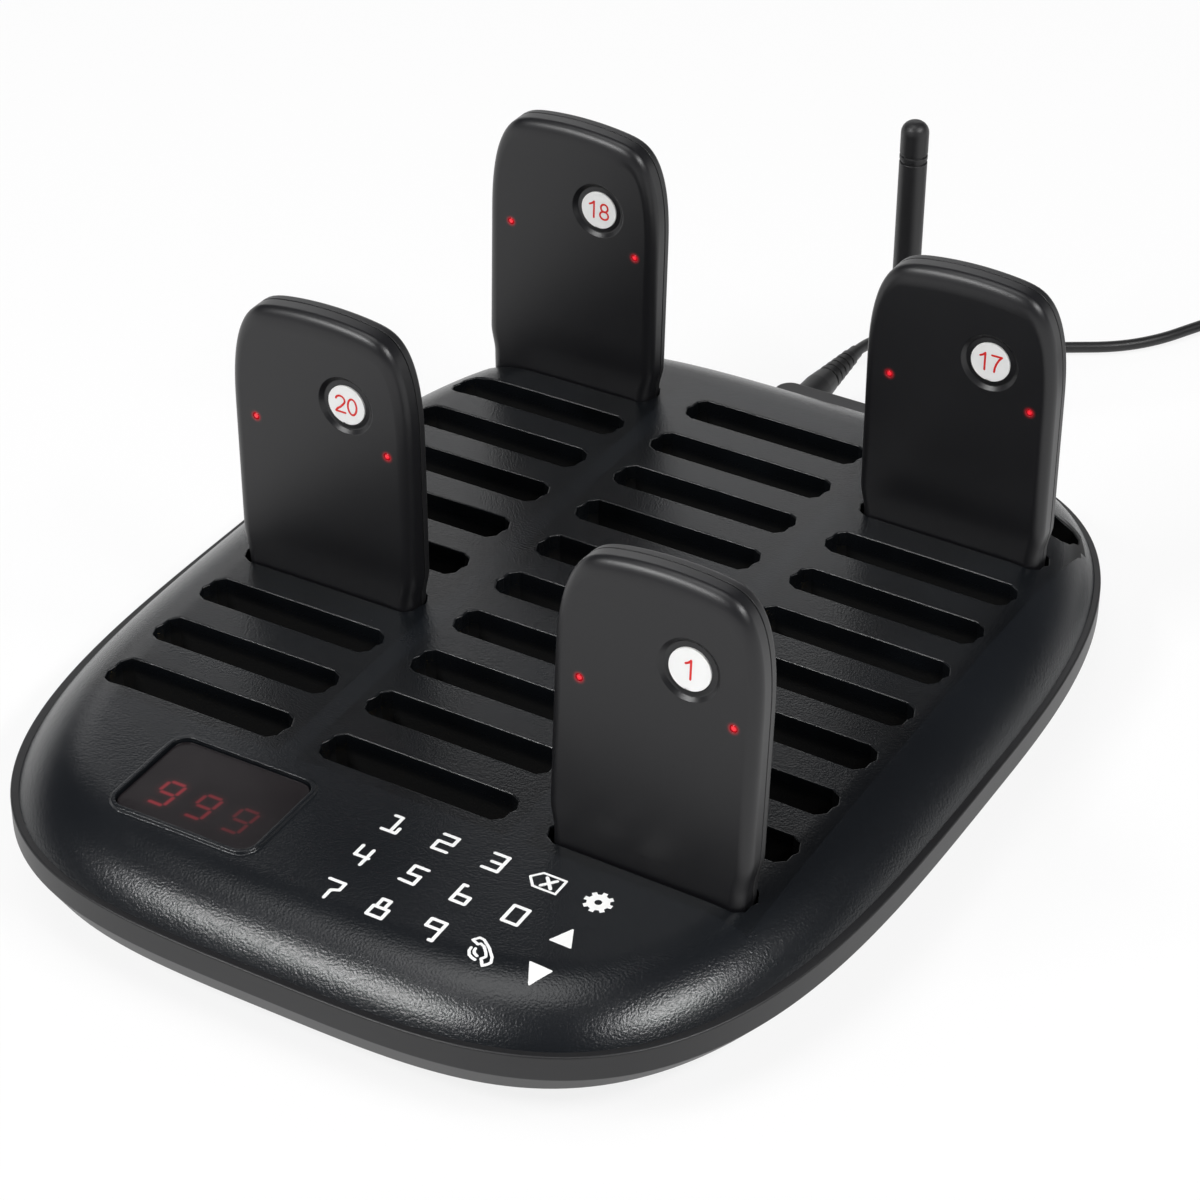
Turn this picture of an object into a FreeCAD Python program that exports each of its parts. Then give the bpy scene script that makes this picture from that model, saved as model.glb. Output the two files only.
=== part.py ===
import FreeCAD, Part
import math
import os

from FreeCAD import Placement, Rotation, Vector

# Guest pager system: a charging and calling base with thirty pager wells and four pagers in it.
# Frame: +Z up, +Y to the back, origin at the middle of the footprint on the table. Millimetres.

doc = FreeCAD.newDocument("GuestPagerSystem")
sheet = doc.addObject("Spreadsheet::Sheet", "Dims")

DRIVING = dict(
    # housing outline
    half_width=119.5, widest_y=0.8, front_reach=168.7, rear_reach=137.85,
    front_power_x=3.49, front_power_y=3.61, rear_power_x=3.88, rear_power_y=2.7,
    # housing heights
    deck_height=35.5, ledge_height=21.9, wall_foot=14.9, bevel_foot=10.5, pan_height=2.5,
    crown_radius=6800.0, crown_y=31.2, roll_radius=27.0,
    top_wall=2.6, bottom_wall=2.5, bevel_inset=3.5, pan_inset=16.0, ledge_width=4.0, hollow_foot=12.0,
    # wells
    column_pitch=68.59, row_pitch=21.49, first_row_y=-95.3, row_count=10.0,
    slot_half=28.7, slot_half_depth=5.6, slot_shift_x=-0.3, slot_shift_y=0.5,
    rack_half_width=31.5, rack_margin=8.9, rack_foot=12.2, well_floor=13.4, rack_inset=4.2,
    pin_height=0.4, pin_spread=30.0,
    # display
    window_x=-41.0, window_y=-126.8, window_width=42.0, window_depth=31.0, window_corner=4.0,
    lip_width=1.6, lip_rise=0.8, window_sink=0.3, window_foot=30.4,
    # touch keys
    keypad_x=34.5, keypad_y=-128.5, keypad_width=68.0, keypad_depth=38.0, board_thickness=1.2,
    # connector bump
    bump_left=-22.0, bump_right=35.0, bump_back=146.7, bump_top=22.4, bump_foot=8.0,
    jack_x=-14.6, port_height=16.5, plug_end=182.2,
    antenna_x=9.4, antenna_y=163.7, antenna_tip=111.0, antenna_radius=4.2,
    # pagers
    pager_half=26.9, pager_top=82.5, pager_foot=-21.7, pager_front=-4.85, pager_back=5.15,
    seam_front=1.6, seam_back=1.9, corner_radius=14.0, crest_radius=100.0, shell_wall=1.6,
    indicator_z=47.6, indicator_left=-20.15, indicator_right=21.95,
    disc_x=9.5, disc_z=59.7, disc_radius=5.3, dish_radius=8.4,
    # lead
    lead_diameter=3.6, coil_x=95.8, coil_y=294.6, coil_radius=20.0, coil_half_width=7.2,
    coil_height=7.4,
)

for row, (alias, value) in enumerate(DRIVING.items(), start=1):
    sheet.set("A%d" % row, alias)
    sheet.set("B%d" % row, str(value))
    sheet.setAlias("B%d" % row, alias)
doc.recompute()

NODES = []


def dim(alias):
    """The value of a driving dimension."""
    return float(sheet.get(alias))


def bind(obj, **formulas):
    """Tie properties to the sheet; a name is an alias, longer formulas use Dims.alias."""
    for prop, formula in formulas.items():
        text = "Dims." + formula if formula in DRIVING else formula
        obj.setExpression(prop, text)
    return obj


def keep(obj, label):
    """Mark an object as a sub-part under its own label."""
    obj.Label = label
    NODES.append(obj)
    return obj


def place(obj, x=0.0, y=0.0, z=0.0, rotation=None):
    obj.Placement = Placement(Vector(x, y, z), rotation or Rotation())
    return obj


def box(name, low, high):
    """A box from its low corner to its high corner."""
    obj = doc.addObject("Part::Box", name)
    obj.Length, obj.Width, obj.Height = [b - a for a, b in zip(low, high)]
    return place(obj, *low)


def cylinder(name, radius, height, at, along=Vector(0, 0, 1)):
    obj = doc.addObject("Part::Cylinder", name)
    obj.Radius = radius
    obj.Height = height
    return place(obj, *at, rotation=Rotation(Vector(0, 0, 1), along))


def cut(name, base, tools):
    obj = doc.addObject("Part::Cut", name)
    obj.Base = base
    obj.Tool = tools if not isinstance(tools, list) else fuse(name + "Tools", tools)
    return obj


def fuse(name, shapes):
    if len(shapes) == 1:
        return shapes[0]
    obj = doc.addObject("Part::MultiFuse", name)
    obj.Shapes = shapes
    return obj


def common(name, first, second):
    obj = doc.addObject("Part::Common", name)
    obj.Base = first
    obj.Tool = second
    return obj


def group(name, solids):
    """Equal small parts that do not touch, kept as one sub-part."""
    obj = doc.addObject("Part::Compound", name)
    obj.Links = solids
    return obj


def round_edges(name, base, radius, wanted, kind="Part::Fillet"):
    """Round the edges of a shape that a test picks out."""
    doc.recompute()
    picked = [i for i, edge in enumerate(base.Shape.Edges, start=1) if wanted(edge)]
    obj = doc.addObject(kind, name)
    obj.Base = base
    obj.Edges = [(i, radius, radius) for i in picked]
    return obj


def bevel_edges(name, base, size, wanted):
    """Bevel the edges of a shape that a test picks out."""
    return round_edges(name, base, size, wanted, "Part::Chamfer")


def edge_low(edge):
    return edge.BoundBox.ZMin


def vertical(edge):
    box_of = edge.BoundBox
    return box_of.XLength < 0.01 and box_of.YLength < 0.01


def at_height(height, slack=0.01):
    return lambda edge: abs(edge.BoundBox.ZMin - height) < slack and edge.BoundBox.ZLength < slack


# ---------------------------------------------------------------- housing outline

OUTLINE_STEPS = 48


def signed_power(value, power):
    return math.copysign(abs(value) ** power, value)


def outline_wire(name, height, grow=0.0, grow_front=None):
    """The housing's closed outline: a front and a rear superellipse that share the widest line."""
    grow_front = grow if grow_front is None else grow_front
    points = []
    for step in range(OUTLINE_STEPS):
        angle = 2 * math.pi * step / OUTLINE_STEPS
        rear = math.sin(angle) >= 0
        power_x = dim("rear_power_x") if rear else dim("front_power_x")
        power_y = dim("rear_power_y") if rear else dim("front_power_y")
        reach = dim("rear_reach") + grow if rear else dim("front_reach") + grow_front
        x = (dim("half_width") + grow) * signed_power(math.cos(angle), 2 / power_x)
        y = dim("widest_y") + reach * signed_power(math.sin(angle), 2 / power_y)
        points.append(Vector(x, y, height))
    curve = Part.BSplineCurve()
    curve.interpolate(Points=points, PeriodicFlag=True)
    wire = doc.addObject("Part::Feature", name)
    wire.Shape = Part.Wire([curve.toShape()])
    return wire


def ruled_loft(name, sections):
    loft = doc.addObject("Part::Loft", name)
    loft.Sections = sections
    loft.Solid = True
    loft.Ruled = True
    return loft


def extrude(name, wire, height):
    obj = doc.addObject("Part::Extrusion", name)
    obj.Base = wire
    obj.DirMode = "Custom"
    obj.Dir = Vector(0, 0, 1)
    obj.LengthFwd = height
    obj.Solid = True
    return obj


def crown_ball(name, sink=0.0):
    """The large ball whose cap is the crown of the deck."""
    ball = doc.addObject("Part::Sphere", name)
    bind(ball, Radius="Dims.crown_radius - %s" % sink)
    ball.Placement = Placement(Vector(0, dim("crown_y"), dim("deck_height") - dim("crown_radius")),
                               Rotation())
    return ball


def crowned_block(name, grow, grow_front, sink, fillet, foot):
    """A block of the housing's outline under the crown, with the large roll round its edge."""
    wire = outline_wire(name + "Outline", foot, grow, grow_front)
    block = extrude(name + "Block", wire, dim("deck_height") + 1 - foot)
    capped = common(name + "Capped", block, crown_ball(name + "Ball", sink))
    rim = dim("deck_height") - 8
    return round_edges(name + "Rolled", capped, fillet, lambda edge: edge_low(edge) > rim)


def rounded_prism(name, centre, size, corner, low, high):
    """An upright prism with rounded corners."""
    block = box(name + "Block", (centre[0] - size[0] / 2, centre[1] - size[1] / 2, low),
                (centre[0] + size[0] / 2, centre[1] + size[1] / 2, high))
    return round_edges(name, block, corner, vertical)


def column_centres():
    return [("left", -dim("column_pitch")), ("middle", 0.0), ("right", dim("column_pitch"))]


def rack_prism(name, side, x, low, high):
    """A rack's footprint, trimmed where the housing's rear corner is close."""
    front, back = rack_limits()
    half = dim("rack_half_width")
    block = box(name + "Block" + side, (x - half, front, low), (x + half, back, high))
    wire = outline_wire(name + "Limit" + side, low - 1, -dim("rack_inset"))
    return common(name + side, block, extrude(name + "LimitPrism" + side, wire, high - low + 2))


def rack_limits():
    last_row = dim("first_row_y") + (dim("row_count") - 1) * dim("row_pitch")
    return dim("first_row_y") - dim("rack_margin"), last_row + dim("rack_margin")


# ---------------------------------------------------------------- top shell

WALL_OUT, WALL_OUT_FRONT = 2.0, 3.0
ROLL_FOOT = 2.0
SCREWS = [(-80, -118), (80, -118), (-6, -109), (-55, 113), (55, 113), (-6, 113)]


def keypad_posts():
    reach_x = dim("keypad_width") / 2 - 7
    reach_y = dim("keypad_depth") / 2 - 6
    return [(dim("keypad_x") + a * reach_x, dim("keypad_y") + b * reach_y)
            for a in (-1, 1) for b in (-1, 1)]


def display_posts():
    reach_x = dim("window_width") / 2 + 4
    return [(dim("window_x") + a * reach_x, dim("window_y") + b * 8) for a in (-1, 1) for b in (-1, 1)]


KEYPAD_POST_FOOT = 27.5
DISPLAY_POST_FOOT = 24.6
SCREW_POST_FOOT = 8.0


def post(name, radius, x, y, foot):
    """A post from the inside of the deck down to a foot height."""
    squared = x ** 2 + (y - dim("crown_y")) ** 2
    crown = dim("deck_height") - squared / (2 * dim("crown_radius"))
    return cylinder(name, radius, crown - 0.6 * dim("top_wall") - foot, (x, y, foot))


def top_shell():
    wall = dim("top_wall")
    outer = crowned_block("TopOuter", WALL_OUT, WALL_OUT_FRONT, 0.0, dim("roll_radius"), ROLL_FOOT)
    inner = crowned_block("TopInner", WALL_OUT - wall, WALL_OUT_FRONT - wall, wall,
                          dim("roll_radius") - wall, ROLL_FOOT - 1)
    below = box("TopBelow", (-200, -200, 0), (200, 200, dim("ledge_height")))
    skin = cut("TopSkin", cut("TopSolid", outer, below), inner)
    centre = (dim("window_x"), dim("window_y"))
    lip_size = (dim("window_width") + 2 * dim("lip_width"), dim("window_depth") + 2 * dim("lip_width"))
    lip_prism = rounded_prism("LipPrism", centre, lip_size, dim("window_corner") + dim("lip_width"),
                              31.5, 40)
    lip = common("Lip", lip_prism, crown_ball("LipBall", -dim("lip_rise")))
    posts = []
    for number, (x, y) in enumerate(keypad_posts()):
        posts.append(post("KeyPost%d" % number, 3.2, x, y, KEYPAD_POST_FOOT))
    for number, (x, y) in enumerate(display_posts()):
        posts.append(post("DisplayPost%d" % number, 2.4, x, y, DISPLAY_POST_FOOT))
    for number, (x, y) in enumerate(SCREWS):
        posts.append(post("ScrewPost%d" % number, 3.6, x, y, SCREW_POST_FOOT))
    solid = fuse("TopFused", [skin, lip] + posts)
    openings = [rack_prism("RackOpening", side, x, 20, 40) for side, x in column_centres()]
    openings.append(rounded_prism("WindowOpening", centre, (dim("window_width"), dim("window_depth")),
                                  dim("window_corner"), 20, 40))
    for number, (x, y) in enumerate(SCREWS):
        openings.append(cylinder("ScrewBore%d" % number, 1.5, 16, (x, y, SCREW_POST_FOOT)))
    return keep(cut("TopShell", solid, openings), "top_shell")


# ---------------------------------------------------------------- slot racks

def slot_outline():
    """Half-turn symmetric slot: a long rectangle whose ends are bevelled to a keyed nose."""
    half, depth = dim("slot_half"), dim("slot_half_depth")
    right = [(half - 3.8, depth), (half - 1.3, depth - 1.4), (half, 1.0),
             (half - 0.9, -1.0), (half - 1.0, -depth + 2.1), (half - 3.2, -depth)]
    return right + [(-x, -y) for x, y in right]


def slot_prism(name, x, y):
    points = [Vector(x + dim("slot_shift_x") + a, y + dim("slot_shift_y") + b, dim("well_floor"))
              for a, b in slot_outline()]
    wire = doc.addObject("Part::Feature", name + "Outline")
    wire.Shape = Part.makePolygon(points + points[:1])
    return extrude(name, wire, 30)


def slot_rack(side, x):
    block = rack_prism("Rack", side, x, dim("rack_foot"), 40)
    crowned = common("RackCrowned" + side, block, doc.getObject("TopOuterRolled"))
    slots = [slot_prism("Slot%s%d" % (side, row), x, dim("first_row_y") + row * dim("row_pitch"))
             for row in range(int(dim("row_count")))]
    return keep(cut("SlotRack" + side, crowned, slots), "slot_rack_" + side)


def charge_pins():
    pins = []
    for side, x in column_centres():
        for row in range(int(dim("row_count"))):
            y = dim("first_row_y") + row * dim("row_pitch")
            for end in (-1, 1):
                centre = x + end * dim("pin_spread") / 2
                low = (centre - 2.5, y - 1.2, dim("well_floor"))
                high = (centre + 2.5, y + 1.2, dim("well_floor") + dim("pin_height"))
                pins.append(box("Pin%s%d%d" % (side, row, end + 1), low, high))
    return keep(group("ChargePins", pins), "charge_pins")


# ---------------------------------------------------------------- bottom shell

def tray_outside():
    """Wall, inward bevel and belly of the bottom shell."""
    sections = [outline_wire("TrayRim", dim("ledge_height")),
                outline_wire("TrayWallFoot", dim("wall_foot")),
                outline_wire("TrayBevelFoot", dim("bevel_foot"), -dim("bevel_inset")),
                outline_wire("TrayPan", dim("pan_height"), -dim("pan_inset"))]
    return ruled_loft("TrayOutside", sections)


def tray_inside():
    """The tray's hollow: it leaves the ledge at the top and a floor at the bottom."""
    floor = dim("pan_height") + dim("bottom_wall")
    sections = [outline_wire("HollowRim", dim("ledge_height") + 1, -dim("ledge_width")),
                outline_wire("HollowFoot", dim("hollow_foot"), -dim("ledge_width")),
                outline_wire("HollowFloor", floor, -dim("pan_inset") - 3)]
    return ruled_loft("TrayInside", sections)


def bottom_shell():
    tray = cut("Tray", tray_outside(), tray_inside())
    bump_block = box("BumpBlock", (dim("bump_left"), 120, dim("bump_foot")),
                     (dim("bump_right"), dim("bump_back"), dim("bump_top")))
    bump = round_edges("Bump", bump_block, 5.0, lambda e: vertical(e) and e.BoundBox.YMin > 130)
    inside = extrude("BumpInside", outline_wire("BumpInsideOutline", 3, -dim("ledge_width")), 30)
    under_top = extrude("BumpUnderTop", outline_wire("BumpUnderTopOutline", dim("ledge_height")), 5)
    bump_outside = cut("BumpOutside", bump, [inside, under_top])
    parts = [tray, bump_outside]
    floor = dim("pan_height") + dim("bottom_wall")
    for number, (x, y) in enumerate(BOARD_POSTS):
        parts.append(cylinder("BoardPost%d" % number, 3.0, BOARD_HEIGHT - floor + 1, (x, y, floor - 1)))
    for number, (x, y) in enumerate(RACK_POSTS):
        height = dim("rack_foot") - dim("board_thickness") - floor + 1
        parts.append(cylinder("RackPost%d" % number, 4.0, height, (x, y, floor - 1)))
    for number, (x, y) in enumerate(SCREWS):
        parts.append(cylinder("ScrewBoss%d" % number, 5.0, SCREW_POST_FOOT - floor + 1, (x, y, floor - 1)))
    holes = [cylinder("ScrewWay%d" % number, 1.7, 30, (x, y, 0)) for number, (x, y) in enumerate(SCREWS)]
    holes += [cylinder("ScrewSeat%d" % number, 3.2, SCREW_SEAT, (x, y, 0))
              for number, (x, y) in enumerate(SCREWS)]
    back = Vector(0, 1, 0)
    holes.append(box("PortRoom", (dim("bump_left") + 1.5, 118, PORT_ROOM[0]),
                     (dim("bump_right") - 1.5, dim("bump_back") - PORT_WALL, PORT_ROOM[1])))
    holes.append(cylinder("JackWay", 3.3, 10, (dim("jack_x"), 140, dim("port_height")), back))
    holes.append(cylinder("AntennaWay", 3.2, 10, (dim("antenna_x"), 140, dim("port_height")), back))
    return keep(cut("BottomShell", fuse("TrayFused", parts), holes), "bottom_shell")


SCREW_SEAT = 4.6
HEAD_RADIUS, HEAD_HEIGHT = 2.8, 1.8
SHANK_RADIUS, SHANK_LENGTH = 1.45, 14
FEET = [(-82, -100), (82, -100), (-78, 96), (78, 96)]
FOOT_RADIUS = 8.0
PORT_ROOM = (11.5, 20.9)
PORT_WALL = 2.5
BOARD_HEIGHT = 9.0
BOARD_POSTS = [(-58, -126), (18, -126), (-58, -142), (18, -142)]
RACK_POSTS = [(x, y) for x in (-88, -34, 34, 88) for y in (-84, 0, 92)]


def rubber_feet():
    feet = []
    for number, (x, y) in enumerate(FEET):
        pad = cylinder("FootPad%d" % number, FOOT_RADIUS, dim("pan_height"), (x, y, 0))
        feet.append(bevel_edges("Foot%d" % number, pad, 0.6, at_height(0.0)))
    return keep(group("RubberFeet", feet), "rubber_feet")


def housing_screws():
    screws = []
    for number, (x, y) in enumerate(SCREWS):
        head = cylinder("ScrewHead%d" % number, HEAD_RADIUS, HEAD_HEIGHT, (x, y, SCREW_SEAT - HEAD_HEIGHT))
        shank = cylinder("ScrewShank%d" % number, SHANK_RADIUS, SHANK_LENGTH, (x, y, SCREW_SEAT - 1))
        screws.append(fuse("Screw%d" % number, [head, shank]))
    return keep(group("HousingScrews", screws), "housing_screws")


# ---------------------------------------------------------------- electronics

def display_parts():
    centre = (dim("window_x"), dim("window_y"))
    prism = rounded_prism("WindowPrism", centre, (dim("window_width"), dim("window_depth")),
                          dim("window_corner"), dim("window_foot"), 40)
    keep(common("Window", prism, crown_ball("WindowBall", dim("window_sink"))), "display_window")
    digits = box("Digits", (centre[0] - 18.5, centre[1] - 10, DISPLAY_POST_FOOT),
                 (centre[0] + 18.5, centre[1] + 6, dim("window_foot")))
    board = box("DisplayBoard", (centre[0] - 28, centre[1] - 13, DISPLAY_POST_FOOT - dim("board_thickness")),
                (centre[0] + 28, centre[1] + 13, DISPLAY_POST_FOOT))
    keep(fuse("DisplayModule", [digits, board]), "display_module")


def boards():
    half_x, half_y = dim("keypad_width") / 2, dim("keypad_depth") / 2
    keypad = rounded_prism("KeypadBoard", (dim("keypad_x"), dim("keypad_y")), (2 * half_x, 2 * half_y), 3.0,
                           KEYPAD_POST_FOOT - dim("board_thickness"), KEYPAD_POST_FOOT)
    keep(keypad, "keypad_board")
    plate = box("MainPlate", (-64, -147, BOARD_HEIGHT), (24, -121, BOARD_HEIGHT + 1.6))
    chip = box("Controller", (-30, -140, BOARD_HEIGHT + 1.6), (-18, -128, BOARD_HEIGHT + 3.2))
    memory = box("Memory", (-8, -138, BOARD_HEIGHT + 1.6), (0, -130, BOARD_HEIGHT + 3.0))
    keep(fuse("MainBoard", [plate, chip, memory]), "main_board")
    keep(cylinder("Buzzer", 6.0, 8.5, (10, -134, BOARD_HEIGHT + 1.6)), "buzzer")
    front, back = rack_limits()
    top = dim("rack_foot")
    plate = box("ChargingPlate", (-96, front + 4, top - dim("board_thickness")), (96, back - 4, top))
    limit = extrude("ChargingLimit", outline_wire("ChargingLimitOutline", 5, -8.0), 20)
    keep(common("ChargingBoard", plate, limit), "charging_board")
    floor = dim("pan_height") + dim("bottom_wall")
    radio_plate = box("RadioPlate", (20, 112, floor), (44, 113.6, floor + 15))
    radio_can = box("RadioCan", (23, 113.6, floor + 2), (41, 116.4, floor + 13))
    keep(fuse("RadioModule", [radio_plate, radio_can]), "rf_module")


def dc_jack():
    x, z = dim("jack_x"), dim("port_height")
    wall = dim("bump_back") - PORT_WALL
    body = box("JackBody", (x - 4.5, wall - 11, PORT_ROOM[0]), (x + 4.5, wall, z + 4.0))
    sleeve = cylinder("JackSleeve", 3.3, PORT_WALL, (x, wall, z), Vector(0, 1, 0))
    bore = cylinder("JackBore", 2.8, 12.0, (x, wall - 8.0, z), Vector(0, 1, 0))
    pin = cylinder("JackPin", 0.95, 8.5, (x, wall - 8.5, z), Vector(0, 1, 0))
    hollow = cut("JackHollow", fuse("JackFused", [body, sleeve]), bore)
    return keep(fuse("DcJack", [hollow, pin]), "dc_jack")


def antenna():
    """A rod antenna that swivels on its coupler and folds down on a cross pin."""
    x, y, z = dim("antenna_x"), dim("antenna_y"), dim("port_height")
    wall, back = dim("bump_back"), Vector(0, 1, 0)
    radius = dim("antenna_radius")
    flange = cylinder("AntennaFlange", 4.2, 2.0, (x, wall - PORT_WALL - 2.0, z), back)
    thread = cylinder("AntennaThread", 3.15, PORT_WALL + 6.6, (x, wall - PORT_WALL, z), back)
    keep(fuse("AntennaJack", [flange, thread]), "antenna_jack")
    nut = cylinder("CouplerNut", 4.6, 8.8, (x, wall, z), back)
    nut_bore = cylinder("CouplerBore", 3.15, 6.6, (x, wall, z), back)
    neck_bore = cylinder("CouplerNeckBore", 2.45, 3.0, (x, wall + 6.4, z), back)
    bevelled = bevel_edges("CouplerBevelled", nut, 0.5, lambda e: e.BoundBox.YLength < 0.01)
    keep(cut("AntennaCoupler", bevelled, [nut_bore, neck_bore]), "antenna_coupler")
    ear_root = wall + 9.1
    neck = cylinder("ElbowNeck", 2.4, ear_root - wall - 7.0 + 1, (x, wall + 7.0, z), back)
    barrel = cylinder("ElbowBarrel", radius, y + 5 - ear_root, (x, ear_root, z), back)
    knuckle = cylinder("ElbowKnuckle", radius + 0.1, 20, (x - 10, y, z), Vector(1, 0, 0))
    straight = box("ElbowStraight", (x - 10, ear_root, z - 5), (x + 10, y, z + 5))
    rounded_barrel = common("ElbowRounded", barrel, fuse("ElbowProfile", [knuckle, straight]))
    web_front = y - radius - 0.4
    throat = box("ElbowThroat", (x - 2.1, web_front, z - 10), (x + 2.1, y + 10, z + 10))
    pin_bore = cylinder("ElbowPinBore", 1.0, 20, (x - 10, y, z), Vector(1, 0, 0))
    elbow = fuse("ElbowFused", [neck, rounded_barrel])
    keep(cut("AntennaElbow", elbow, [throat, pin_bore]), "antenna_elbow")
    keep(cylinder("HingePin", 1.0, 2 * radius, (x - radius, y, z), Vector(1, 0, 0)), "antenna_hinge_pin")
    stem = cylinder("WhipStem", radius, WHIP_TOP - WHIP_FOOT - z, (x, y, z + WHIP_FOOT))
    tongue_plate = box("WhipTonguePlate", (x - 1.9, y - 3.8, z), (x + 1.9, y + 3.8, z + WHIP_FOOT + 1))
    tongue_eye = cylinder("WhipTongueEye", 3.8, 3.8, (x - 1.9, y, z), Vector(1, 0, 0))
    whip_bore = cylinder("WhipBore", 1.05, 20, (x - 10, y, z), Vector(1, 0, 0))
    keep(cut("AntennaWhip", fuse("WhipFused", [stem, tongue_plate, tongue_eye]), whip_bore), "antenna_whip")
    cap_foot = WHIP_TOP
    waist = cylinder("CapWaist", radius - 0.4, 2.0, (x, y, cap_foot))
    body = cylinder("CapBody", radius, dim("antenna_tip") - cap_foot - 1.5, (x, y, cap_foot + 1.5))
    dome = round_edges("CapDome", body, 3.6, at_height(dim("antenna_tip")))
    keep(fuse("AntennaCap", [waist, dome]), "antenna_cap")


WHIP_FOOT = 4.7
WHIP_TOP = 98.0


# ---------------------------------------------------------------- plug and lead

def dc_plug():
    """The plug's moulded body: a plain grip, then five ribs that taper down to the lead."""
    x, z, start = dim("jack_x"), dim("port_height"), dim("bump_back")
    profile = [(0.0, 0.0), (4.3, 0.0), (4.7, 0.6), (4.7, 9.0), (4.1, 15.0)]
    rib_start, rib_pitch, count = 15.0, 3.2, 5
    for rib in range(count):
        foot = rib_start + rib * rib_pitch
        grow = 3.9 - 0.28 * rib
        profile += [(grow - 0.7, foot), (grow - 0.7, foot + 0.6), (grow, foot + 0.7), (grow, foot + rib_pitch - 0.1)]
    length = dim("plug_end") - start
    profile += [(2.4, rib_start + count * rib_pitch), (2.2, length), (0.0, length)]
    points = [Vector(r, 0, s) for r, s in profile]
    face = Part.Face(Part.makePolygon(points + points[:1]))
    body = doc.addObject("Part::Feature", "DcPlug")
    body.Shape = face.revolve(Vector(0, 0, 0), Vector(0, 0, 1), 360)
    body.Placement = Placement(Vector(x, start, z), Rotation(Vector(0, 0, 1), Vector(0, 1, 0)))
    keep(body, "dc_plug")
    shell = cylinder("BarrelShell", 2.75, 9.0, (x, start - 9.0, z), Vector(0, 1, 0))
    hollow = cylinder("BarrelHollow", 1.05, 8.5, (x, start - 9.5, z), Vector(0, 1, 0))
    keep(cut("PlugBarrel", shell, hollow), "plug_barrel")


LEAD_ROUTE = [(-14.6, 182.2, 16.5), (-14.2, 192.6, 15.9), (-10.8, 202.8, 11.2), (-4.0, 212.4, 4.8),
              (5.0, 222.2, 2.1), (17.0, 232.6, 2.1), (31.8, 242.0, 2.1), (46.8, 251.2, 2.1),
              (56.6, 262.6, 2.1), (63.0, 275.2, 2.1), (69.6, 285.6, 2.1), (76.6, 296.0, 2.1)]
TAIL_ROUTE = [(115.8, 293.0, 2.1), (116.2, 283.0, 2.3), (119.2, 273.6, 2.9), (126.0, 267.2, 4.9),
              (134.5, 266.06, 6.88)]


def lead_tube(name, label, route):
    """A tube along straight runs joined by tangent arcs, as large as the runs allow."""
    points = [Vector(*p) for p in route]
    edges, last, radii = [], points[0], []
    for before, here, after in zip(points, points[1:], points[2:]):
        back, ahead = (before - here), (after - here)
        run = min(back.Length, ahead.Length)
        turn = math.pi - back.getAngle(ahead)
        trim = 0.45 * run
        radii.append(trim / math.tan(turn / 2))
        back.normalize()
        ahead.normalize()
        begin, end = here + back * trim, here + ahead * trim
        bisector = (back + ahead).normalize()
        reach = math.hypot(radii[-1], trim)
        middle = here + bisector * (reach - radii[-1])
        edges.append(Part.LineSegment(last, begin).toShape())
        edges.append(Part.Arc(begin, middle, end).toShape())
        last = end
    edges.append(Part.LineSegment(last, points[-1]).toShape())
    path = Part.Wire(edges)
    radius = dim("lead_diameter") / 2
    circle = Part.Circle(points[0], (points[1] - points[0]), radius)
    tube = path.makePipeShell([Part.Wire([circle.toShape()])], True, False)
    expected = math.pi * radius ** 2 * path.Length
    print(label, "length %.1f" % path.Length, "radii", [round(r, 1) for r in radii],
          "volume ratio %.4f" % (tube.Volume / expected))
    feature = doc.addObject("Part::Feature", name)
    feature.Shape = tube
    return keep(feature, label)


def cable_coil():
    outer = cylinder("CoilOuter", dim("coil_radius") + dim("coil_half_width"), dim("coil_height"),
                     (dim("coil_x"), dim("coil_y"), 0))
    inner = cylinder("CoilInner", dim("coil_radius") - dim("coil_half_width"), dim("coil_height") + 2,
                     (dim("coil_x"), dim("coil_y"), -1))
    ring = cut("CoilRing", outer, inner)
    return keep(bevel_edges("Coil", ring, 1.2, lambda e: e.BoundBox.ZLength < 0.01), "cable_coil")


def power_adapter():
    body = rounded_prism("AdapterBlock", (164, 266), (44, 62), 5.0, 0, 30)
    relief = doc.addObject("Part::Cone", "AdapterRelief")
    relief.Radius1, relief.Radius2, relief.Height = 2.6, 4.2, 8.0
    relief.Placement = Placement(Vector(135, 266, 7.0), Rotation(Vector(0, 0, 1), Vector(1, 0, 0)))
    keep(fuse("PowerAdapter", [body, relief]), "power_adapter")
    prongs = [box("Prong%d" % n, (186, 266 + s * 6.35 - 0.75, 12), (202, 266 + s * 6.35 + 0.75, 18.4))
              for n, s in enumerate((-1, 1))]
    keep(group("Prongs", prongs), "adapter_prongs")


# ---------------------------------------------------------------- pagers

PAGERS = dict(
    pager_20=dict(column=-1, row=4, lean=0.2, roll=-0.43, shift_x=0.19, shift_y=0.0),
    pager_18=dict(column=-1, row=10, lean=0.2, roll=1.04, shift_x=0.35, shift_y=0.0),
    pager_1=dict(column=1, row=1, lean=4.5, roll=-0.62, shift_x=-0.04, shift_y=0.5),
    pager_17=dict(column=1, row=9, lean=0.33, roll=-0.49, shift_x=-0.35, shift_y=0.0),
)


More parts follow.
